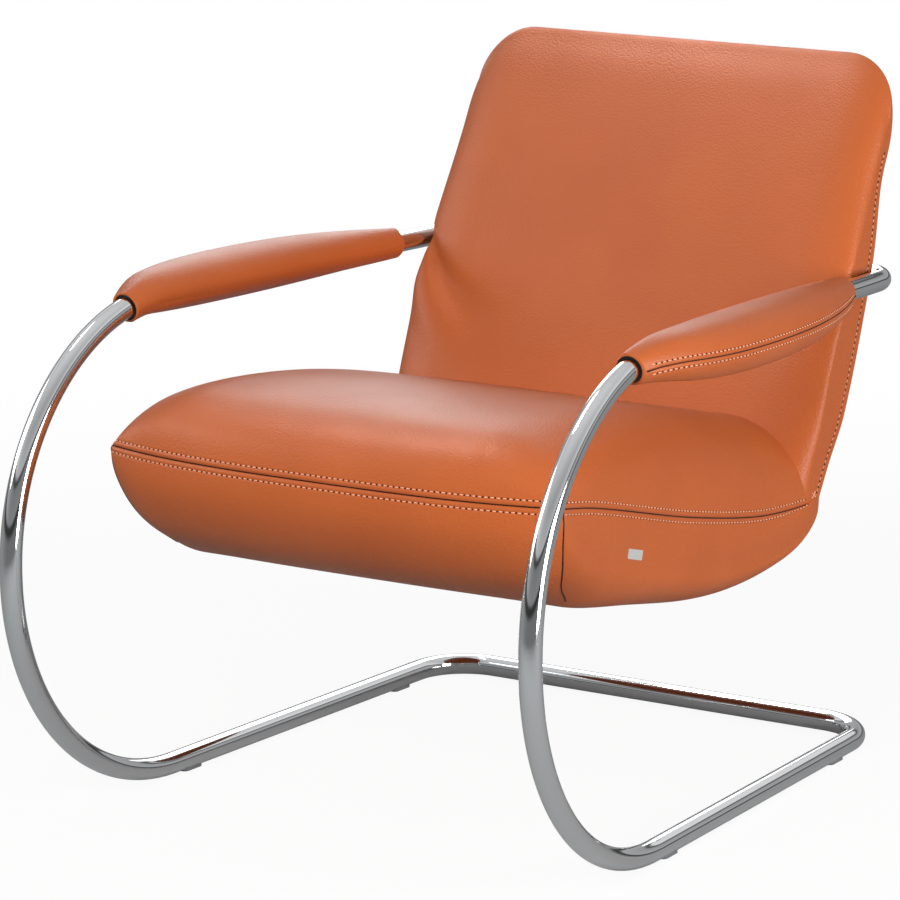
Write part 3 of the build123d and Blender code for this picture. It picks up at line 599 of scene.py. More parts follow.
def hull_points(x):
    """The hull's spline points at each width, from the front seam under the seat to the back's foot.
    Each goes from its middle place to its side place as the width rolls."""
    curl = roll(x, HULL_ROLL)[:, None]
    curled, under = ([middle + (side - middle) * curl for middle, side in np.reshape(points, (-1, 2, 2))]
                     for points in (CURL, UNDER))
    start = np.stack([seam_y(x), np.full_like(x, FRONT_SEAM_Z)], -1)
    from_seam = np.stack([seam_y(x), np.zeros_like(x)], -1)
    foot_z = np.full_like(x, BACK_FOOT - SKIN_GAP)
    foot = np.stack([heel_y(foot_z, x), foot_z], -1)
    return np.stack([start, *(point + from_seam for point in curled), *under, foot])


print("the hull has", len(CURL) + len(UNDER) + 2, "spline points at each width")

# %% Top panel and hull as grids: rows run from front to rear, columns from side to side
ROWS, COLUMNS = 210, 170
NEAR_SEAMS = 0.90                # how closely rows and columns crowd at the seams
SEAT_FLAT = 0.62                 # share of the columns that lie in the level part of the width


def lofted(points, at, x, wider=0.0):
    """The spline through the points of every width, at shares of the middle width's length, as a
    grid of body points. The hips are wider by a share."""
    weights = spline_weights(knots_of(points[:, points.shape[1] // 2]), at)
    line = np.einsum("rk,kcd->rcd", weights, points)
    return to_body(x * (1 + wider * hips(line[..., 1])), line[..., 0], line[..., 1])


seat_x = widths(COLUMNS, NEAR_SEAMS, SEAT_FLAT, SEAT_ROLL)
top = lofted(top_points(seat_x), eased(ROWS, NEAR_SEAMS), seat_x)
hull = lofted(hull_points(seat_x), eased(ROWS, NEAR_SEAMS), seat_x)
print("top panel, mm:", top.min((0, 1)).round(), top.max((0, 1)).round())

# %% [markdown]
# ## Seams in leather
# At the chair's main seam the two panels are turned in and sewn face to face, then each is
# topstitched 7 mm away through its turned edge. From outside that is a thin dark groove, a
# slightly raised band beside it, and a shallow dent under the stitches. The relief below is a
# function of the distance to the seam, and it moves the surface along its normal.

# %% Relief beside a seam
STITCH_ROW = 7.0                 # from the seam to its topstitching
GROOVE, GROOVE_W = 2.0, 1.3
# A seam: the groove's depth and width, then height, place and width of the raised edge and the dent.
SEAT_SEAM = ((GROOVE, GROOVE_W), (0.55, 3.6, 1.9), (0.50, STITCH_ROW, 1.4))


def soft_bump(distance, place, width):
    """1 at a place, fading to both sides: exp(-((distance - place) / width)^2)."""
    return np.exp(-((distance - place) / width) ** 2)


def seam_relief(distance, seam):
    """Height beside a seam: less depth times exp(-distance / width) for the groove, plus a bump for
    the turned edge, less another for the dent under the stitches."""
    (depth, width), (edge, *edge_at), (dent, *dent_at) = seam
    return (-depth * np.exp(-distance / width) + edge * soft_bump(distance, *edge_at)
            - dent * soft_bump(distance, *dent_at))


top_normal = normals_of(top, (0, 0, 1))
from_side, from_front = from_ends(top), run_length(top, 0)
top_seam = np.minimum(from_side, from_front)
hull_normal = normals_of(hull, (0, 0, -1))
hull_front = run_length(hull, 0)
print("stitch row lies", STITCH_ROW, "mm from the seam, which is", GROOVE, "mm deep")

# %% [markdown]
# ## Closing the seat
# The boxing's sides are flat panels between the top seam and the hull's edge. Each is a grid
# of straight lines between those two borders, and swells a little in its middle. A border that
# two grids share is moved by the same amount in both: straight into the foam.

# %% Gathers, and the way in at the borders
SINK_BAND = 6.0                  # width beside a border in which the way in is defined
FRONT_GATHERS, SIDE_GATHERS = (26.0, 0.16), (18.0, 0.10)     # how far they reach, and their height


def gathers(along, away, reach, height):
    """Soft folds where sewn leather is drawn in: three waves along the seam, two of them with a
    drifting phase, that rise over the first 9 mm and die out as exp(-away / reach)."""
    wave = (np.sin(along / 9.0 + 1.7 * np.sin(along / 41.0))
            + 0.6 * np.sin(along / 5.3 + 1.1 * np.sin(along / 29.0))
            + 0.8 * np.sin(along / 17.0 + 2.0))
    return height * wave * np.clip(away / 9.0, 0, 1) * np.exp(-away / reach)


inwards = np.zeros_like(top)
inwards[..., 0] = -np.sign(seat_x) * np.clip(1 - from_side / SINK_BAND, 0, 1)
inwards[..., 1] = np.clip(1 - from_front / SINK_BAND, 0, 1)
inwards /= np.maximum(np.linalg.norm(inwards, axis=-1, keepdims=True), 1e-9)
border = np.zeros(top.shape[:2], bool)
border[0], border[:, 0], border[:, -1] = True, True, True
top_folds = gathers(top[..., 0], from_front, *FRONT_GATHERS) + gathers(top[..., 1], from_side, *SIDE_GATHERS)
seat_top = top + top_normal * (seam_relief(top_seam, SEAT_SEAM) + top_folds)[..., None]
seat_top[border] = (top + inwards * GROOVE)[border]
seat_hull = hull + hull_normal * seam_relief(hull_front, SEAT_SEAM)[..., None]
seat_hull[0] = seat_top[0]
print("gathers are up to", top_folds.max().round(2), "mm high")

# %% Side panels and rear wall
SIDE_COLUMNS, SIDE_EASE = 46, 0.80
SWELL, FADE = 1.6, 25.0          # the bulge of a side panel; where one is lower than FADE it loses relief
TAG_AT, TAG_FLAT = (-87.0, 339.0), (34.0, 22.0)     # the plate's y and z, and the flat leather round it


def between(first, last, count, closeness=0.0):
    """A grid of straight lines from each point of one border to the same point of another."""
    t = eased(count, closeness)[None, :, None]
    return first[:, None] * (1 - t) + last[:, None] * t


sides = []
for column in (0, -1):
    panel = between(top[:, column], hull[:, column], SIDE_COLUMNS, SIDE_EASE)
    down = run_length(panel, 1)
    outwards = np.array([np.sign(seat_x[column]), 0, 0])
    swell = SWELL * np.sin(np.pi * np.clip(down / np.maximum(down[:, -1:], 1e-6), 0, 1)) ** 2
    swell *= 1 - np.exp(-((panel[..., 1] - TAG_AT[0]) / TAG_FLAT[0]) ** 4
                        - ((panel[..., 2] - TAG_AT[1]) / TAG_FLAT[1]) ** 4)
    fade = np.clip(down[:, -1:] / FADE, 0, 1)
    panel = panel + outwards * ((seam_relief(down, SEAT_SEAM) + swell) * fade)[..., None]
    panel[:, 0], panel[:, -1] = seat_top[:, column], seat_hull[:, column]
    sides.append(panel)
wall = between(seat_top[-1], seat_hull[-1], SIDE_COLUMNS, SIDE_EASE)
wall[0], wall[-1] = sides[0][-1], sides[1][-1]
seat = closed_piece("seat_in_leather", [seat_top, seat_hull, *sides, wall], cowhide)
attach(seat, "root")
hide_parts("seat_top_cover", "front_band", "side_band_left", "side_band_right", "underside_cover",
            "seat_foam")

# %% Painted shade: dark cord down in the main seam, and in the boxing's corner seams
SEAM_CORD_R, CORNER_CORD_R, CORNER_STEPS = 1.25, 0.75, 60
NEAREST_STEP = 0.05              # points of the seam that lie nearer than this are dropped
SEAT_CORNER = np.array([(291.3, -241.0, 417.5), (290.6, -239.4, 404.0), (288.6, -236.6, 390.0),
                        (285.6, -232.0, 374.0), (282.0, -226.0, 360.0), (276.5, -217.0, 341.0),
                        (269.0, -206.0, 324.0), (262.0, -192.0, 312.0), (257.0, -180.0, 306.0),
                        (252.0, -170.0, 302.0)])


def laid_on(points, grid, normals):
    """Points moved on to a grid's surface, along the normal of the grid's nearest point."""
    grid, normals = grid.reshape(-1, 3), normals.reshape(-1, 3)
    nearest = np.linalg.norm(grid[None] - points[:, None], axis=-1).argmin(1)
    lift = ((points - grid[nearest]) * normals[nearest]).sum(1, keepdims=True)
    return points - lift * normals[nearest]


seam_path = np.concatenate([seat_top[::-1, 0], seat_top[0, 1:-1], seat_top[:, -1]])
keep = np.concatenate([[True], np.diff(run_length(seam_path, 0)) > NEAREST_STEP])
corner = spline_weights(knots_of(SEAT_CORNER), np.linspace(0, 1, CORNER_STEPS)) @ SEAT_CORNER
corner = laid_on(corner, seat_hull, hull_normal)
# The cords are painted shade: dark cords laid along the seams stand in for the shade in their grooves.
seam_shade_cord = cord_piece("seat_seam_fold_shade", [seam_path[keep]], SEAM_CORD_R, seam_shadow)
corner_shade_cord = cord_piece("corner_seam_fold_shade", [corner, mirrored(corner)], CORNER_CORD_R, seam_shadow)
for piece in (seam_shade_cord, corner_shade_cord):
    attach(piece, "root")

# %% [markdown]
# ## The back
# The back is a board of foam that thins towards its top. Its front rolls round to the sides,
# and a rear panel closes it, sewn on near the rear edge. The outline is again a spline whose
# points depend on the width. The front line and the rear line of each width meet on top.

# %% Front and rear of the back as grids
BACK_ROWS, BACK_COLUMNS, BACK_FLAT = 210, 130, 0.72
BACK_ROW_EASE, BACK_COLUMN_EASE = 0.75, 0.80
FRONT_DROPS = (60.0, 24.0, 9.0)            # the front line's last points lie so far below the top
TOP_REAR_DROP, REAR_STEP = 15.0, 42.0      # the rear line's last point, and the one before it
APEX_SHARE, APEX_DROP = 0.62, 0.5          # where the two lines meet: share of the way to the rear

back_x = widths(BACK_COLUMNS, BACK_COLUMN_EASE, BACK_FLAT, TOP_CORNER_R)
peak = local_top(back_x)
high = peak - TOP_REAR_DROP
foot_z, crease_z = np.full_like(back_x, BACK_FOOT), np.full_like(back_x, CREASE[1])
front_heights = [foot_z, crease_z, 0.5 * (crease_z + peak - FRONT_DROPS[1]),
                 *(peak - drop for drop in FRONT_DROPS)]
rear_heights = [foot_z, 0.5 * (crease_z + foot_z), crease_z, 0.25 * high + 0.75 * crease_z,
                0.62 * high + 0.38 * crease_z, high - REAR_STEP, high]
front_line = [np.stack([face_y(z, back_x), z], -1) for z in front_heights]
rear_line = [np.stack([heel_y(z, back_x), z], -1) for z in rear_heights]
last_y = front_line[-1][:, 0]
apex = np.stack([last_y + APEX_SHARE * (rear_line[-1][:, 0] - last_y), peak - APEX_DROP], -1)
loop = np.stack(front_line + [apex] + rear_line[::-1])
top_knot = knots_of(loop[:, loop.shape[1] // 2])[len(front_line)]
t = eased(BACK_ROWS, BACK_ROW_EASE)
back_face = lofted(loop, t * top_knot, back_x, HIP_WIDER)
back_rear = lofted(loop, 1 - t * (1 - top_knot), back_x, HIP_WIDER)
print("back, mm:", back_face.min((0, 1)).round(), back_rear.max((0, 1)).round())

# %% The folds at the hips
FOLD_Z, FOLD_RISE, FOLD_RUN = 452.0, 115.0, 75.0     # its height, its rise at the side edge, over what width
FOLD_DEPTH, FOLD_REACH = 11.0, 105.0                 # depth, and how far it reaches towards the middle
EDGE_SHARE, EDGE_W = 0.75, 16.0                      # it is shallower by this share at the edge itself
FOLD_W, FOLD_SPREAD = 12.0, 0.14                     # width at the edge, and how it grows inwards
BULGE, BULGE_REACH, BULGE_DROP, BULGE_W = 4.0, 75.0, 52.0, 26.0
FOLD_SHARES = (1.0, 0.4)                             # right and left: the photo shows the right one stronger


def hip_fold(points):
    """Height of the folds over the face: less a valley that rises towards the side edge, plus a
    bulge below it. Both are soft bumps over the height that fade towards the middle."""
    beside, z = HALF_W - np.abs(points[..., 0]), points[..., 2]
    pressed = np.where(points[..., 0] < 0, *FOLD_SHARES)
    valley_z = FOLD_Z + FOLD_RISE * np.exp(-np.maximum(beside, 0) / FOLD_RUN)
    valley = FOLD_DEPTH * pressed * (1 - EDGE_SHARE * soft_bump(beside, 0, EDGE_W))
    valley *= soft_bump(beside, 0, FOLD_REACH)
    valley *= soft_bump(z, valley_z, FOLD_W + FOLD_SPREAD * np.maximum(beside, 0))
    bulge = BULGE * pressed * soft_bump(beside, 0, BULGE_REACH)
    return bulge * soft_bump(z, valley_z - BULGE_DROP, BULGE_W) - valley


folds = hip_fold(back_face)
back_face = back_face + normals_of(back_face, (0, -1, 0)) * folds[..., None]
print("hip folds, mm: from", folds.min().round(1), "to", folds.max().round(1))

# %% Closing the back
BACK_SIDE, BACK_SIDE_EASE = 40, 0.6
REAR_GROOVE, REAR_GROOVE_W = 1.2, 1.2
BACK_STITCH_ROW, BACK_DENT, BACK_DENT_W = 9.0, 0.45, 1.3     # the row's distance from the rear edge
THIN_EDGE = 20.0                 # where the back is thinner than this, the dent fades

rear_seam = REAR_GROOVE * np.exp(-from_ends(back_rear) / REAR_GROOVE_W)
rear_panel = back_rear - normals_of(back_rear, (0, 1, 0)) * rear_seam[..., None]
back_sides = []
for column in (0, -1):
    strip = between(back_face[:, column], back_rear[:, column], BACK_SIDE, BACK_SIDE_EASE)
    to_rear = run_length(strip, 1)
    to_rear = to_rear[:, -1:] - to_rear
    outwards = np.array([np.sign(back_x[column]), 0, 0])
    dent = BACK_DENT * soft_bump(to_rear, BACK_STITCH_ROW, BACK_DENT_W)
    strip = strip - outwards * (dent * np.clip(to_rear[:, :1] / THIN_EDGE, 0, 1))[..., None]
    strip[:, 0], strip[:, -1] = back_face[:, column], rear_panel[:, column]
    back_sides.append(strip)
foot = between(back_face[0], rear_panel[0], BACK_SIDE, BACK_SIDE_EASE)
foot[0], foot[-1] = back_sides[0][0], back_sides[1][0]
rear_panel[-1] = back_face[-1]
for strip in back_sides:
    strip[-1] = strip[-1, :1]
back = closed_piece("back_in_leather", [back_face, rear_panel, *back_sides, foot], cowhide)
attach(back, "root")
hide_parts("back_front_cover", "back_rear_cover", "back_foam", "rear_padding")

# %% [markdown]
# ## The arm pads
# Each arm carries a leather sleeve stuffed with foam. Round the tube it is slim at both ends
# and bulges away from the sitter in the middle, like a leaf. Its section is a closed spline
# that goes from a circle round the tube to the full shape, and it rides on the tube's own
# centreline, which bends down at the front.

# %% Arm pad sections along the tube
PAD_FRONT_Y, PAD_REAR_Y = -163.0, 352.0
PAD_ROWS, PAD_SIDES, PAD_ROW_EASE, PAD_SIDE_EASE = 200, 96, 0.80, 0.75
# Both sections: how far out and how far up from the tube's centre. FULL's fifth point is the seam.
SLIM = np.array([(-17.5, 0.0), (-9.0, 15.0), (3.0, 17.2), (13.0, 11.7), (17.4, -1.0),
                 (14.5, -9.8), (7.0, -16.0), (-2.0, -17.4), (-11.0, -13.6)])
FULL = np.array([(-17.5, 0.0), (-9.0, 18.5), (22.0, 30.0), (52.0, 21.0), (66.0, -4.0),
                 (60.0, -23.0), (43.0, -34.0), (20.0, -27.0), (-6.0, -17.0)])
SEAM_POINT = 4
# Share of the pad's length, and how full the section is there.
PAD_FULLNESS = np.array([(0.0, 0.03), (0.09, 0.50), (0.19, 0.80), (0.31, 0.96), (0.45, 1.0), (0.61, 0.93),
                         (0.76, 0.72), (0.88, 0.43), (0.955, 0.19), (1.0, 0.02)])


def arm_line(y):
    """Points on the arm's centreline: on the upper bend's circle in front, on the sloped run behind."""
    slope = np.arctan(ARM_SLOPE)
    arc_y = FRONT_Y + UPPER_BEND_R
    arc_z = ARM_Z - UPPER_BEND_R * np.tan((np.pi / 2 + slope) / 2)
    on_arc = arc_z + np.sqrt(np.maximum(UPPER_BEND_R ** 2 - (y - arc_y) ** 2, 0))
    z = np.where(y >= arc_y + UPPER_BEND_R * np.sin(slope), arm_height(y), on_arc)
    return np.stack([GAUGE - TOE_OUT * y + LEAN_OUT * z, y, z], -1)


share = eased(PAD_ROWS, PAD_ROW_EASE)
axis = arm_line(PAD_FRONT_Y + share * (PAD_REAR_Y - PAD_FRONT_Y))
fullness = spline_weights(PAD_FULLNESS[:, 0], share) @ PAD_FULLNESS[:, 1]
along = np.gradient(axis, axis=0)
along /= np.linalg.norm(along, axis=1, keepdims=True)
across = np.array([1.0, TOE_OUT, -LEAN_OUT]) / np.linalg.norm([1.0, TOE_OUT, -LEAN_OUT])
up = np.cross(across, along)
sections = SLIM[:, None] + (FULL - SLIM)[:, None] * fullness[None, :, None]
ring_knots = knots_of(np.vstack([FULL, FULL[:1]]))
around = (ring_knots[SEAM_POINT] + eased(PAD_SIDES + 1, PAD_SIDE_EASE)) % 1.0
around[-1] = around[0]
outline = np.einsum("sk,krd->rsd", spline_weights(ring_knots, around, closed=True), sections)
pad = axis[:, None] + across * outline[..., :1] + up[:, None] * outline[..., 1:]
print("arm pad, mm:", pad.min((0, 1)).round(), pad.max((0, 1)).round())

# %% Relief of the arm pads
PAD_ROW = 6.0                    # from the pad's seam to its topstitching
PAD_SEAM = ((1.6, 1.1), (0.35, 3.2, 1.6), (0.35, PAD_ROW, 1.2))
SMOOTH_END = 0.03                # share of the length at both ends in which the relief fades

pad_normal = normals_of(pad, (0, 0, 1))
pad_normal *= np.sign(((pad - pad.mean(1, keepdims=True)) * pad_normal).sum(-1).mean())
ease = np.clip(np.minimum(share, 1 - share) / SMOOTH_END, 0, 1)[:, None]
pad = pad + pad_normal * (seam_relief(from_ends(pad), PAD_SEAM) * ease)[..., None]
pad[:, -1] = pad[:, 0]
print("the pad's seam is", PAD_SEAM[0][0], "mm deep, with stitches", PAD_ROW, "mm beside it")

# %% Ends of the arm pads
MOUTH_R = 15.4                   # the leather's mouth round the black ring
FRONT_LIP, REAR_LIP = 1.4, 2.6   # how far the leather rounds over at the ends
TUBE_FIT = 0.3                   # between the tube and the leather at the rear
TUCKS = (2.0, 8.0)               # the leather runs on along the tube, this far inside the pad


def lip(ring, centre, direction, inner_radius, reach):
    """Rings that turn the leather's end inwards: the ring shrinks to the inner radius by 1 less the
    cosine of the angle, and moves ahead by its sine, over nearly a quarter turn."""
    out = ring - centre
    radius = np.linalg.norm(out, axis=-1, keepdims=True)
    angle = np.linspace(0.15, np.pi / 2, 6)[:, None, None]
    shrink = 1 - (1 - inner_radius / radius) * (1 - np.cos(angle))
    return centre + out * shrink + direction * reach * np.sin(angle)


front_lip = lip(pad[0], axis[0], -along[0], MOUTH_R, FRONT_LIP)
rear_lip = lip(pad[-1], axis[-1], along[-1], TUBE_R + TUBE_FIT, REAR_LIP)
front_tucks = [front_lip[-1] + along[0] * tuck for tuck in TUCKS]
rear_tucks = [rear_lip[-1] - along[-1] * tuck for tuck in TUCKS]
core = np.concatenate([front_tucks[::-1], front_lip[::-1], pad, rear_lip, rear_tucks])
closing = between(core[-1], core[0], 24).transpose(1, 0, 2)
for side, flip in (("left", np.asarray), ("right", mirrored)):
    piece = closed_piece(f"arm_pad_{side}", [flip(core), flip(closing)], cowhide)
    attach(piece, "root")
    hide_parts(f"arm_cover_{side}", f"arm_core_{side}")

# %% [markdown]
# ## Topstitching
# Every stitch is a short length of thread between two needle holes. A stitch is a low ellipsoid
# that lies along its row, raised a little over the leather, and a row is the line at a fixed
# distance from the seam on the relieved surface. Hundreds of stitches are one mesh, because each
# is the same small template, turned to its place by three directions: along, across and out.

# %% Rows of stitches
STITCH_PITCH = 7.0


def row_at(grid, distance, wanted, axis):
    """The line on a grid where a distance that grows along the axis reaches the wanted value."""
    grid, distance = np.moveaxis(grid, axis, 0), np.moveaxis(distance, axis, 0)
    step = np.clip((distance < wanted).sum(0), 1, len(distance) - 1)
    column = np.arange(grid.shape[1])
    low, high = distance[step - 1, column], distance[step, column]
    t = ((wanted - low) / np.maximum(high - low, 1e-9))[:, None]
    return grid[step - 1, column] * (1 - t) + grid[step, column] * t


def evenly(line, normals):
    """Places along a line, one pitch apart, with the directions along it and out of the surface."""
    length = run_length(line, 0)
    at = np.arange(STITCH_PITCH / 2, length[-1], STITCH_PITCH)
    place, ahead, behind = (np.stack([np.interp(at + step, length, line[:, i]) for i in range(3)], -1)
                            for step in (0.0, 0.5, -0.5))
    out = np.stack([np.interp(at, length, normals[:, i]) for i in range(3)], -1)
    along = ahead - behind
    along /= np.maximum(np.linalg.norm(along, axis=1, keepdims=True), 1e-9)
    out -= along * (out * along).sum(1, keepdims=True)
    out /= np.linalg.norm(out, axis=1, keepdims=True)
    return place, along, out


print("stitches are", STITCH_PITCH, "mm apart")

# %% Beads for stitches and holes
BEAD_RINGS, BEAD_SIDES = 3, 6
STITCH = (2.45, 0.80, 0.80)      # half length, half width and half height of a stitch
# A needle hole is painted shade: a dark bead over the leather stands in for the shade in the hole.
HOLE = (1.25, 1.25, 0.45)
STITCH_LIFT, HOLE_LIFT = 0.15, 0.10                  # how far their middles stand over the leather


def bead(rings, sides):
    """A unit ellipsoid of few faces: rings of latitude between two poles, joined by triangles at
    the poles and by quads between the rings."""
    latitude = np.linspace(-np.pi / 2, np.pi / 2, rings + 2)[1:-1, None]
    angle = np.linspace(0, 2 * np.pi, sides, endpoint=False)[None, :]
    body = np.stack([np.broadcast_to(np.sin(latitude), (rings, sides)), np.cos(latitude) * np.cos(angle),
                     np.cos(latitude) * np.sin(angle)], -1).reshape(-1, 3)
    ring = 1 + np.arange(rings * sides).reshape(rings, sides)
    after = np.roll(ring, -1, axis=1)
    start, end = np.zeros(sides, int), np.full(sides, 1 + rings * sides)
    triangles = np.concatenate([np.stack([start, after[0], ring[0]], 1),
                                np.stack([ring[-1], after[-1], end], 1)])
    quads = np.stack([ring[:-1], after[:-1], after[1:], ring[1:]], -1).reshape(-1, 4)
    return np.vstack([[-1, 0, 0], body, [1, 0, 0]]), triangles, quads


print("a bead has", len(bead(BEAD_RINGS, BEAD_SIDES)[0]), "points")

# %% Beads along rows
def beads_along(name, rows, size, lift, offset, material):
    """One mesh of equal ellipsoids of three half sizes: each is the unit one times its directions,
    moved along its row by the offset and out of the leather by the lift."""
    template, triangles, quads = bead(BEAD_RINGS, BEAD_SIDES)
    clouds = []
    for line, normals in rows:
        place, along, out = evenly(line, normals)
        axes = np.stack([along, np.cross(out, along), out], 1) * np.array(size)[None, :, None]
        middle = place + along * offset + out * lift
        clouds.append(middle[:, None] + np.einsum("vk,nkd->nvd", template, axes))
    cloud = np.concatenate(clouds)
    first = (np.arange(len(cloud)) * len(template))[:, None, None]
    faces = (triangles + first).reshape(-1, 3).tolist() + (quads + first).reshape(-1, 4).tolist()
    piece = mesh_piece(name, to_scene(cloud.reshape(-1, 3)), faces, material)
    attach(piece, "root")
    print(name, "beads:", len(cloud))


print("stitches are", 2 * STITCH[0], "mm long")

# %% Stitches of the seat
def side_row(line):
    """A row on a side panel, with the direction straight out to its side as its normals."""
    return line, np.broadcast_to([np.sign(line[0, 0]), 0.0, 0.0], line.shape)


def seam_rows():
    """Rows 7 mm above and below the seat's main seam, turning the corners on both sides."""
    step = (from_front < STITCH_ROW).sum(0).clip(0, ROWS - 1)
    clear = from_side[step, np.arange(COLUMNS)] > STITCH_ROW
    rows = [tuple(row_at(grid, from_front, STITCH_ROW, 0)[clear] for grid in (seat_top, top_normal))]
    for side in (1, -1):
        grid, normal, away, length = (whole[:, ::side][:, :COLUMNS // 2]
                                      for whole in (seat_top, top_normal, from_side, from_front))
        behind = row_at(length[..., None], away, STITCH_ROW, 1)[:, 0] > STITCH_ROW
        rows.append(tuple(row_at(part, away, STITCH_ROW, 1)[behind] for part in (grid, normal)))
    rows.append(tuple(row_at(grid, hull_front, STITCH_ROW, 0) for grid in (seat_hull, hull_normal)))
    for panel in sides:
        down = run_length(panel, 1)
        tall = down[:, -1] > STITCH_ROW * 2
        rows.append(side_row(row_at(panel, down, STITCH_ROW, 1)[tall]))
    return rows


rows = seam_rows()
beads_along("seat_topstitching", rows, STITCH, STITCH_LIFT, 0.0, thread)
# Dark beads of painted shade between the stitches stand in for the needle holes' shade.
beads_along("seat_needle_hole_shades", rows, HOLE, HOLE_LIFT, STITCH_PITCH / 2, needle_hole_shade)

# %% Stitches of the arm pads, and painted shade in their seams
PAD_ROW_ENDS = (0.012, 0.95)     # shares of the pad's length between which its stitches run
PAD_CORD_R = 1.05

ring = run_length(pad, 1)
keep = (share > PAD_ROW_ENDS[0]) & (share < PAD_ROW_ENDS[1])
pad_rows = []
for grid, normal, away in ((pad, pad_normal, ring),
                           (pad[:, ::-1], pad_normal[:, ::-1], (ring[:, -1:] - ring)[:, ::-1])):
    pad_rows.append(tuple(row_at(part, away, PAD_ROW, 1)[keep] for part in (grid, normal)))
pad_rows += [(mirrored(line), mirrored(out)) for line, out in pad_rows]
beads_along("arm_topstitching", pad_rows, STITCH, STITCH_LIFT, 0.0, thread)
# Dark beads of painted shade between the stitches stand in for the needle holes' shade.
beads_along("arm_needle_hole_shades", pad_rows, HOLE, HOLE_LIFT, STITCH_PITCH / 2, needle_hole_shade)

# The cord along each pad's seam is painted shade: a dark cord for the shade in its groove.
seam_line = pad[3:-6, 0]
pad_shade_cord = cord_piece("arm_seam_fold_shades", [seam_line, mirrored(seam_line)], PAD_CORD_R, seam_shadow)
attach(pad_shade_cord, "root")

# %% Stitches of the back, and the bar tacks
BACK_STITCH, BACK_HOLE, BACK_HOLE_LIFT = (2.2, 0.6, 0.45), (1.6, 1.1, 0.55), 0.05
TACK = np.array([283.4, 331.0, 322.0])     # where the side seam ends: two crossed stitches
TACK_LIFT, TACK_ARCH, TACK_W, TACK_H, TACK_R = 0.2, 0.4, 3.6, 3.2, 0.6

back_rows = []
for strip in back_sides:
    distance = run_length(strip, 1)
    distance = (distance[:, -1:] - distance)[:, ::-1]
    wide = distance[:, -1] > 2 * BACK_STITCH_ROW
    back_rows.append(side_row(row_at(strip[:, ::-1], distance, BACK_STITCH_ROW, 1)[wide]))
beads_along("back_topstitching", back_rows, BACK_STITCH, 0.0, 0.0, thread)
# Dark beads of painted shade between the stitches stand in for the needle holes' shade.
beads_along("back_needle_hole_shades", back_rows, BACK_HOLE, BACK_HOLE_LIFT, STITCH_PITCH / 2, needle_hole_shade)

t = np.linspace(-1, 1, 7)
tacks = [TACK + np.stack([TACK_LIFT + TACK_ARCH * (1 - abs(t)), TACK_W * t, slant * TACK_H * t], -1)
         for slant in (1, -1)]
tack = cord_piece("side_bar_tacks", tacks + [mirrored(line) for line in tacks], TACK_R, thread)
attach(tack, "root")

# %% [markdown]
# ## Finishes for the CAD pieces that stay
# Small hard pieces are right as they are in the CAD model and only need their finish.

# %% Finish the CAD nodes
FINISHES = {"metal_tag": satin_steel, "floor_glides": grey_plastic, "arm_rings": black_plastic,
            "mounting_blocks": black_coat, "mounting_bolts": zinc_steel, "mounting_nuts": zinc_steel,
            "saddle_washers": zinc_steel, "joint_screws": zinc_steel, "floor_joint_sleeve": zinc_steel,
            "back_joint_sleeve": zinc_steel, "seat_straps": webbing, "back_straps": webbing}
COATED = ("rail", "cross_tube")            # words in the names of the hidden frame's nodes

for name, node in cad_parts.items():
    finish = FINISHES.get(name)
    if finish is None and any(word in name for word in COATED):
        finish = black_coat
    if finish is not None:
        node.data.materials.clear()
        node.data.materials.append(finish)
print("nodes finished by name:", len(FINISHES))

# %% [markdown]
# ## Studio
# A catalogue photograph of a chrome chair is taken in a white room with large soft lights, and
# with darker panels that draw lines along the tube. The floor and the world are white to the
# camera. Mirrors see grey panels, and the light that both give the chair stays at a plain level.

# %% Floor paint, and what the chair and its mirrors see of it
FLOOR_COLOUR, MIRRORED_FLOOR, DARK_FLOOR = "#F4F4F2", "#B4B6B7", "#8E9092"

floor_material, shader, place = new_material("matt white studio paint")
shader.inputs["Base Color"].default_value = linear(FLOOR_COLOUR)
shader.inputs["Roughness"].default_value = 0.9
speck = add_node(floor_material, "ShaderNodeTexNoise", {"Vector": place}, Scale=60.0)
relief = add_node(floor_material, "ShaderNodeBump", {"Height": speck.outputs["Fac"]}, Strength=0.02)
floor_material.node_tree.links.new(relief.outputs["Normal"], shader.inputs["Normal"])
ray = add_node(floor_material, "ShaderNodeLightPath")
mirrored_floor = add_node(floor_material, "ShaderNodeBsdfDiffuse", Color=linear(MIRRORED_FLOOR))
dark_floor = add_node(floor_material, "ShaderNodeBsdfDiffuse", Color=linear(DARK_FLOOR))
grey = add_node(floor_material, "ShaderNodeMixShader",
                {0: ray.outputs["Is Diffuse Ray"], 1: mirrored_floor.outputs["BSDF"],
                 2: dark_floor.outputs["BSDF"]})
by_ray = add_node(floor_material, "ShaderNodeMixShader",
                  {0: ray.outputs["Is Camera Ray"], 1: grey.outputs["Shader"], 2: shader.outputs["BSDF"]})
print("the floor gives the chair the light of", DARK_FLOOR, "and mirrors", MIRRORED_FLOOR)

# %% Floor that fades into the white room
FLOOR_HALF = 4.0                 # metres from the middle of the floor to its edge
FLOOR_FADE = (0.9, 2.6)          # metres from the middle between which the floor fades
PAPER = 0.92                     # share of plain white that the camera sees; the rest shows the shadow

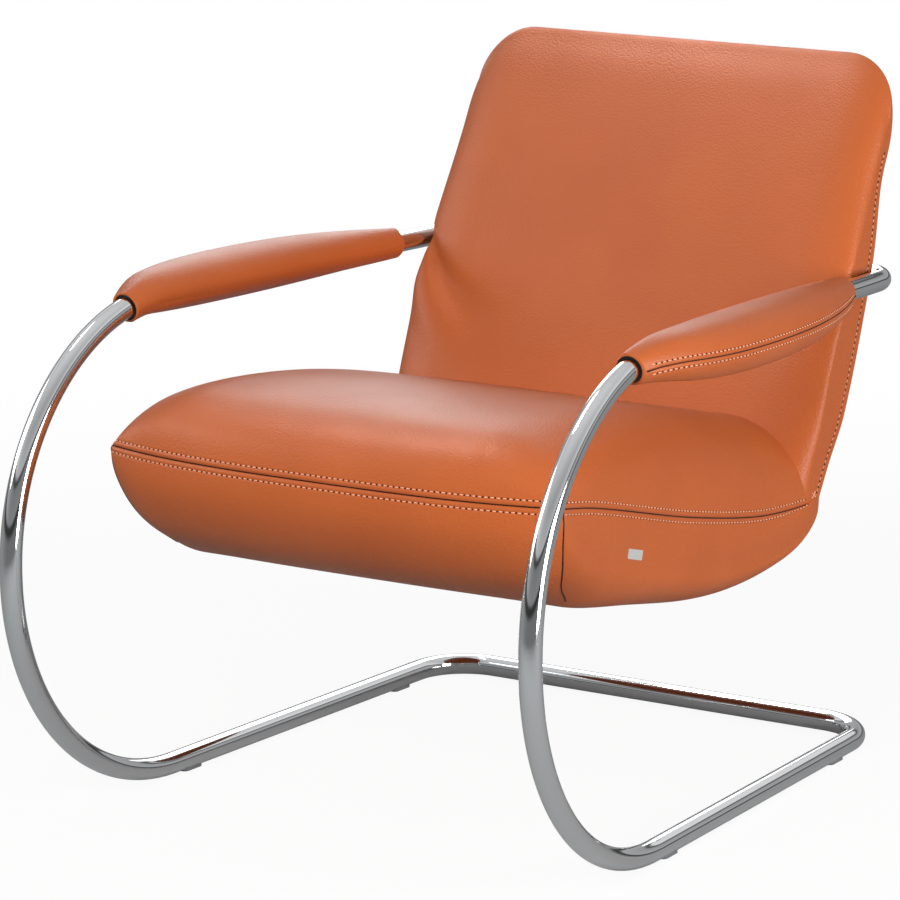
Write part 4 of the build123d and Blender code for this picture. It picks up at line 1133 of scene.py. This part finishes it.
reach = add_node(floor_material, "ShaderNodeVectorMath", {0: place}, {"operation": "LENGTH"})
fade = add_node(floor_material, "ShaderNodeMapRange", {"Value": reach.outputs["Value"]},
                {"interpolation_type": "SMOOTHSTEP"}, From_Min=FLOOR_FADE[0], From_Max=FLOOR_FADE[1])
clear = add_node(floor_material, "ShaderNodeBsdfTransparent")
glow = add_node(floor_material, "ShaderNodeEmission", Color=(1, 1, 1, 1), Strength=1.0)
paper = add_node(floor_material, "ShaderNodeMath", {0: ray.outputs["Is Camera Ray"]},
                 {"operation": "MULTIPLY"})
paper.inputs[1].default_value = PAPER
lit = add_node(floor_material, "ShaderNodeMixShader",
               {0: paper.outputs["Value"], 1: by_ray.outputs["Shader"], 2: glow.outputs["Emission"]})
blend = add_node(floor_material, "ShaderNodeMixShader",
                 {0: fade.outputs["Result"], 1: lit.outputs["Shader"], 2: clear.outputs["BSDF"]})
output = [node for node in floor_material.node_tree.nodes if node.type == "OUTPUT_MATERIAL"][0]
floor_material.node_tree.links.new(blend.outputs["Shader"], output.inputs["Surface"])
floor_corners = np.array([(-1, -1, 0), (1, -1, 0), (1, 1, 0), (-1, 1, 0)]) * FLOOR_HALF
floor = mesh_piece("studio_floor", floor_corners, [(0, 1, 2, 3)], floor_material)
print("floor:", 2 * FLOOR_HALF, "m square")

# %% World
AMBIENT = 0.32                   # light of the room on the chair
# What mirrors see: the height of a direction, from level at 0 to straight up at 1, and its grey.
BANDS = ((0.0, 0.30), (0.05, 0.06), (0.10, 0.06), (0.13, 0.44), (0.36, 0.36), (0.39, 0.10), (0.42, 0.10),
         (0.46, 0.85), (0.74, 0.60), (1.0, 0.75))
BEHIND_CAMERA = (0.53, -0.85, 0.0)         # the room is darker in this direction
DARKER = {"From_Min": -0.2, "From_Max": 0.9, "To_Min": 1.0, "To_Max": 0.6}

world = bpy.data.worlds.new("white studio")
bpy.context.scene.world = world
world.use_nodes = True
ambient = world.node_tree.nodes["Background"]
ambient.inputs["Color"].default_value = (1, 1, 1, 1)
ambient.inputs["Strength"].default_value = AMBIENT
path = add_node(world, "ShaderNodeLightPath")
direction = add_node(world, "ShaderNodeTexCoord").outputs["Generated"]
height = add_node(world, "ShaderNodeSeparateXYZ", {"Vector": direction})
walls = add_node(world, "ShaderNodeValToRGB", {"Fac": height.outputs["Z"]})
ramp = walls.color_ramp
while len(ramp.elements) < len(BANDS):
    ramp.elements.new(0.5)
for element, (position, grey_level) in zip(ramp.elements, BANDS):
    element.position, element.color = position, (grey_level, grey_level, grey_level * 1.01, 1)
towards = add_node(world, "ShaderNodeVectorMath", {0: direction}, {"operation": "DOT_PRODUCT"})
towards.inputs[1].default_value = BEHIND_CAMERA
dim = add_node(world, "ShaderNodeMapRange", {"Value": towards.outputs["Value"]},
               {"interpolation_type": "SMOOTHSTEP"}, **DARKER)
mirror = add_node(world, "ShaderNodeBackground",
                  {"Color": walls.outputs["Color"], "Strength": dim.outputs["Result"]})
seen = add_node(world, "ShaderNodeBackground", Color=(1, 1, 1, 1), Strength=1.0)
glossy = add_node(world, "ShaderNodeMixShader",
                  {0: path.outputs["Is Glossy Ray"], 1: ambient.outputs[0], 2: mirror.outputs[0]})
mix = add_node(world, "ShaderNodeMixShader",
               {0: path.outputs["Is Camera Ray"], 1: glossy.outputs[0], 2: seen.outputs[0]})
world.node_tree.links.new(mix.outputs[0], world.node_tree.nodes["World Output"].inputs["Surface"])
print("world:", len(BANDS), "bands of grey in mirrors")

# %% Lamps
def turned_to(place, target):
    """The rotation of a lamp or camera at a place that looks at a target, both as vectors."""
    return (target - place).to_track_quat("-Z", "Y").to_euler()


def soft_box(name, location, target, width, height, power, lights=True, shines=True, spread=180):
    """A rectangular area lamp of the given watts, turned to its target. It can light surfaces,
    be mirrored in glossy ones, or both, and its beam can be narrower than 180 degrees."""
    lamp = bpy.data.lights.new(name, "AREA")
    lamp.shape, lamp.size, lamp.size_y, lamp.energy = "RECTANGLE", width, height, power
    lamp.spread = np.radians(spread)
    holder = bpy.data.objects.new(name, lamp)
    bpy.context.scene.collection.objects.link(holder)
    holder.location = location
    holder.visible_diffuse, holder.visible_glossy = lights, shines
    holder.rotation_euler = turned_to(Vector(location), Vector(target))


soft_box("back_left", (-1.3, 2.0, 1.6), (0, 0, 0.5), 1.8, 1.5, 28, lights=False)
soft_box("overhead", (-1.0, 0.5, 2.3), (0.1, 0.45, 0.85), 1.6, 0.4, 3.6, lights=False, spread=40)
soft_box("left_side", (-2.2, -1.0, 1.5), (0, 0.3, 0.7), 1.4, 1.2, 22, lights=False)
soft_box("front", (0.5, -3.2, 2.0), (0, 0, 0.45), 1.8, 1.4, 90, shines=False)
soft_box("right_side", (2.9, -0.3, 0.6), (0, 0, 0.45), 1.2, 1.4, 60)
print("lamps:", len(bpy.data.lights))

# %% [markdown]
# ## Camera
# The camera stands where the photographer stood. Its place was worked out from the tube's
# bends: 32 degrees round to the chair's left, 12.5 degrees up, with a long lens.

# %% Camera
STAND, AIM = (2797.8, -4441.8, 1567.7), (-0.3, 0.0, 403.3)   # in the drawing's millimetres
LENS, SENSOR = 192.7, 36.0

camera = bpy.data.objects.new("camera", bpy.data.cameras.new("camera"))
bpy.context.scene.collection.objects.link(camera)
camera.data.lens, camera.data.sensor_width, camera.data.clip_end = LENS, SENSOR, 100
stand, aim = Vector(to_scene(STAND)), Vector(to_scene(AIM))
camera.location = stand
camera.rotation_euler = turned_to(stand, aim)
bpy.context.scene.camera = camera
bpy.context.scene.view_settings.view_transform = "Standard"
print("camera stands", round((aim - stand).length, 2), "m from the chair")
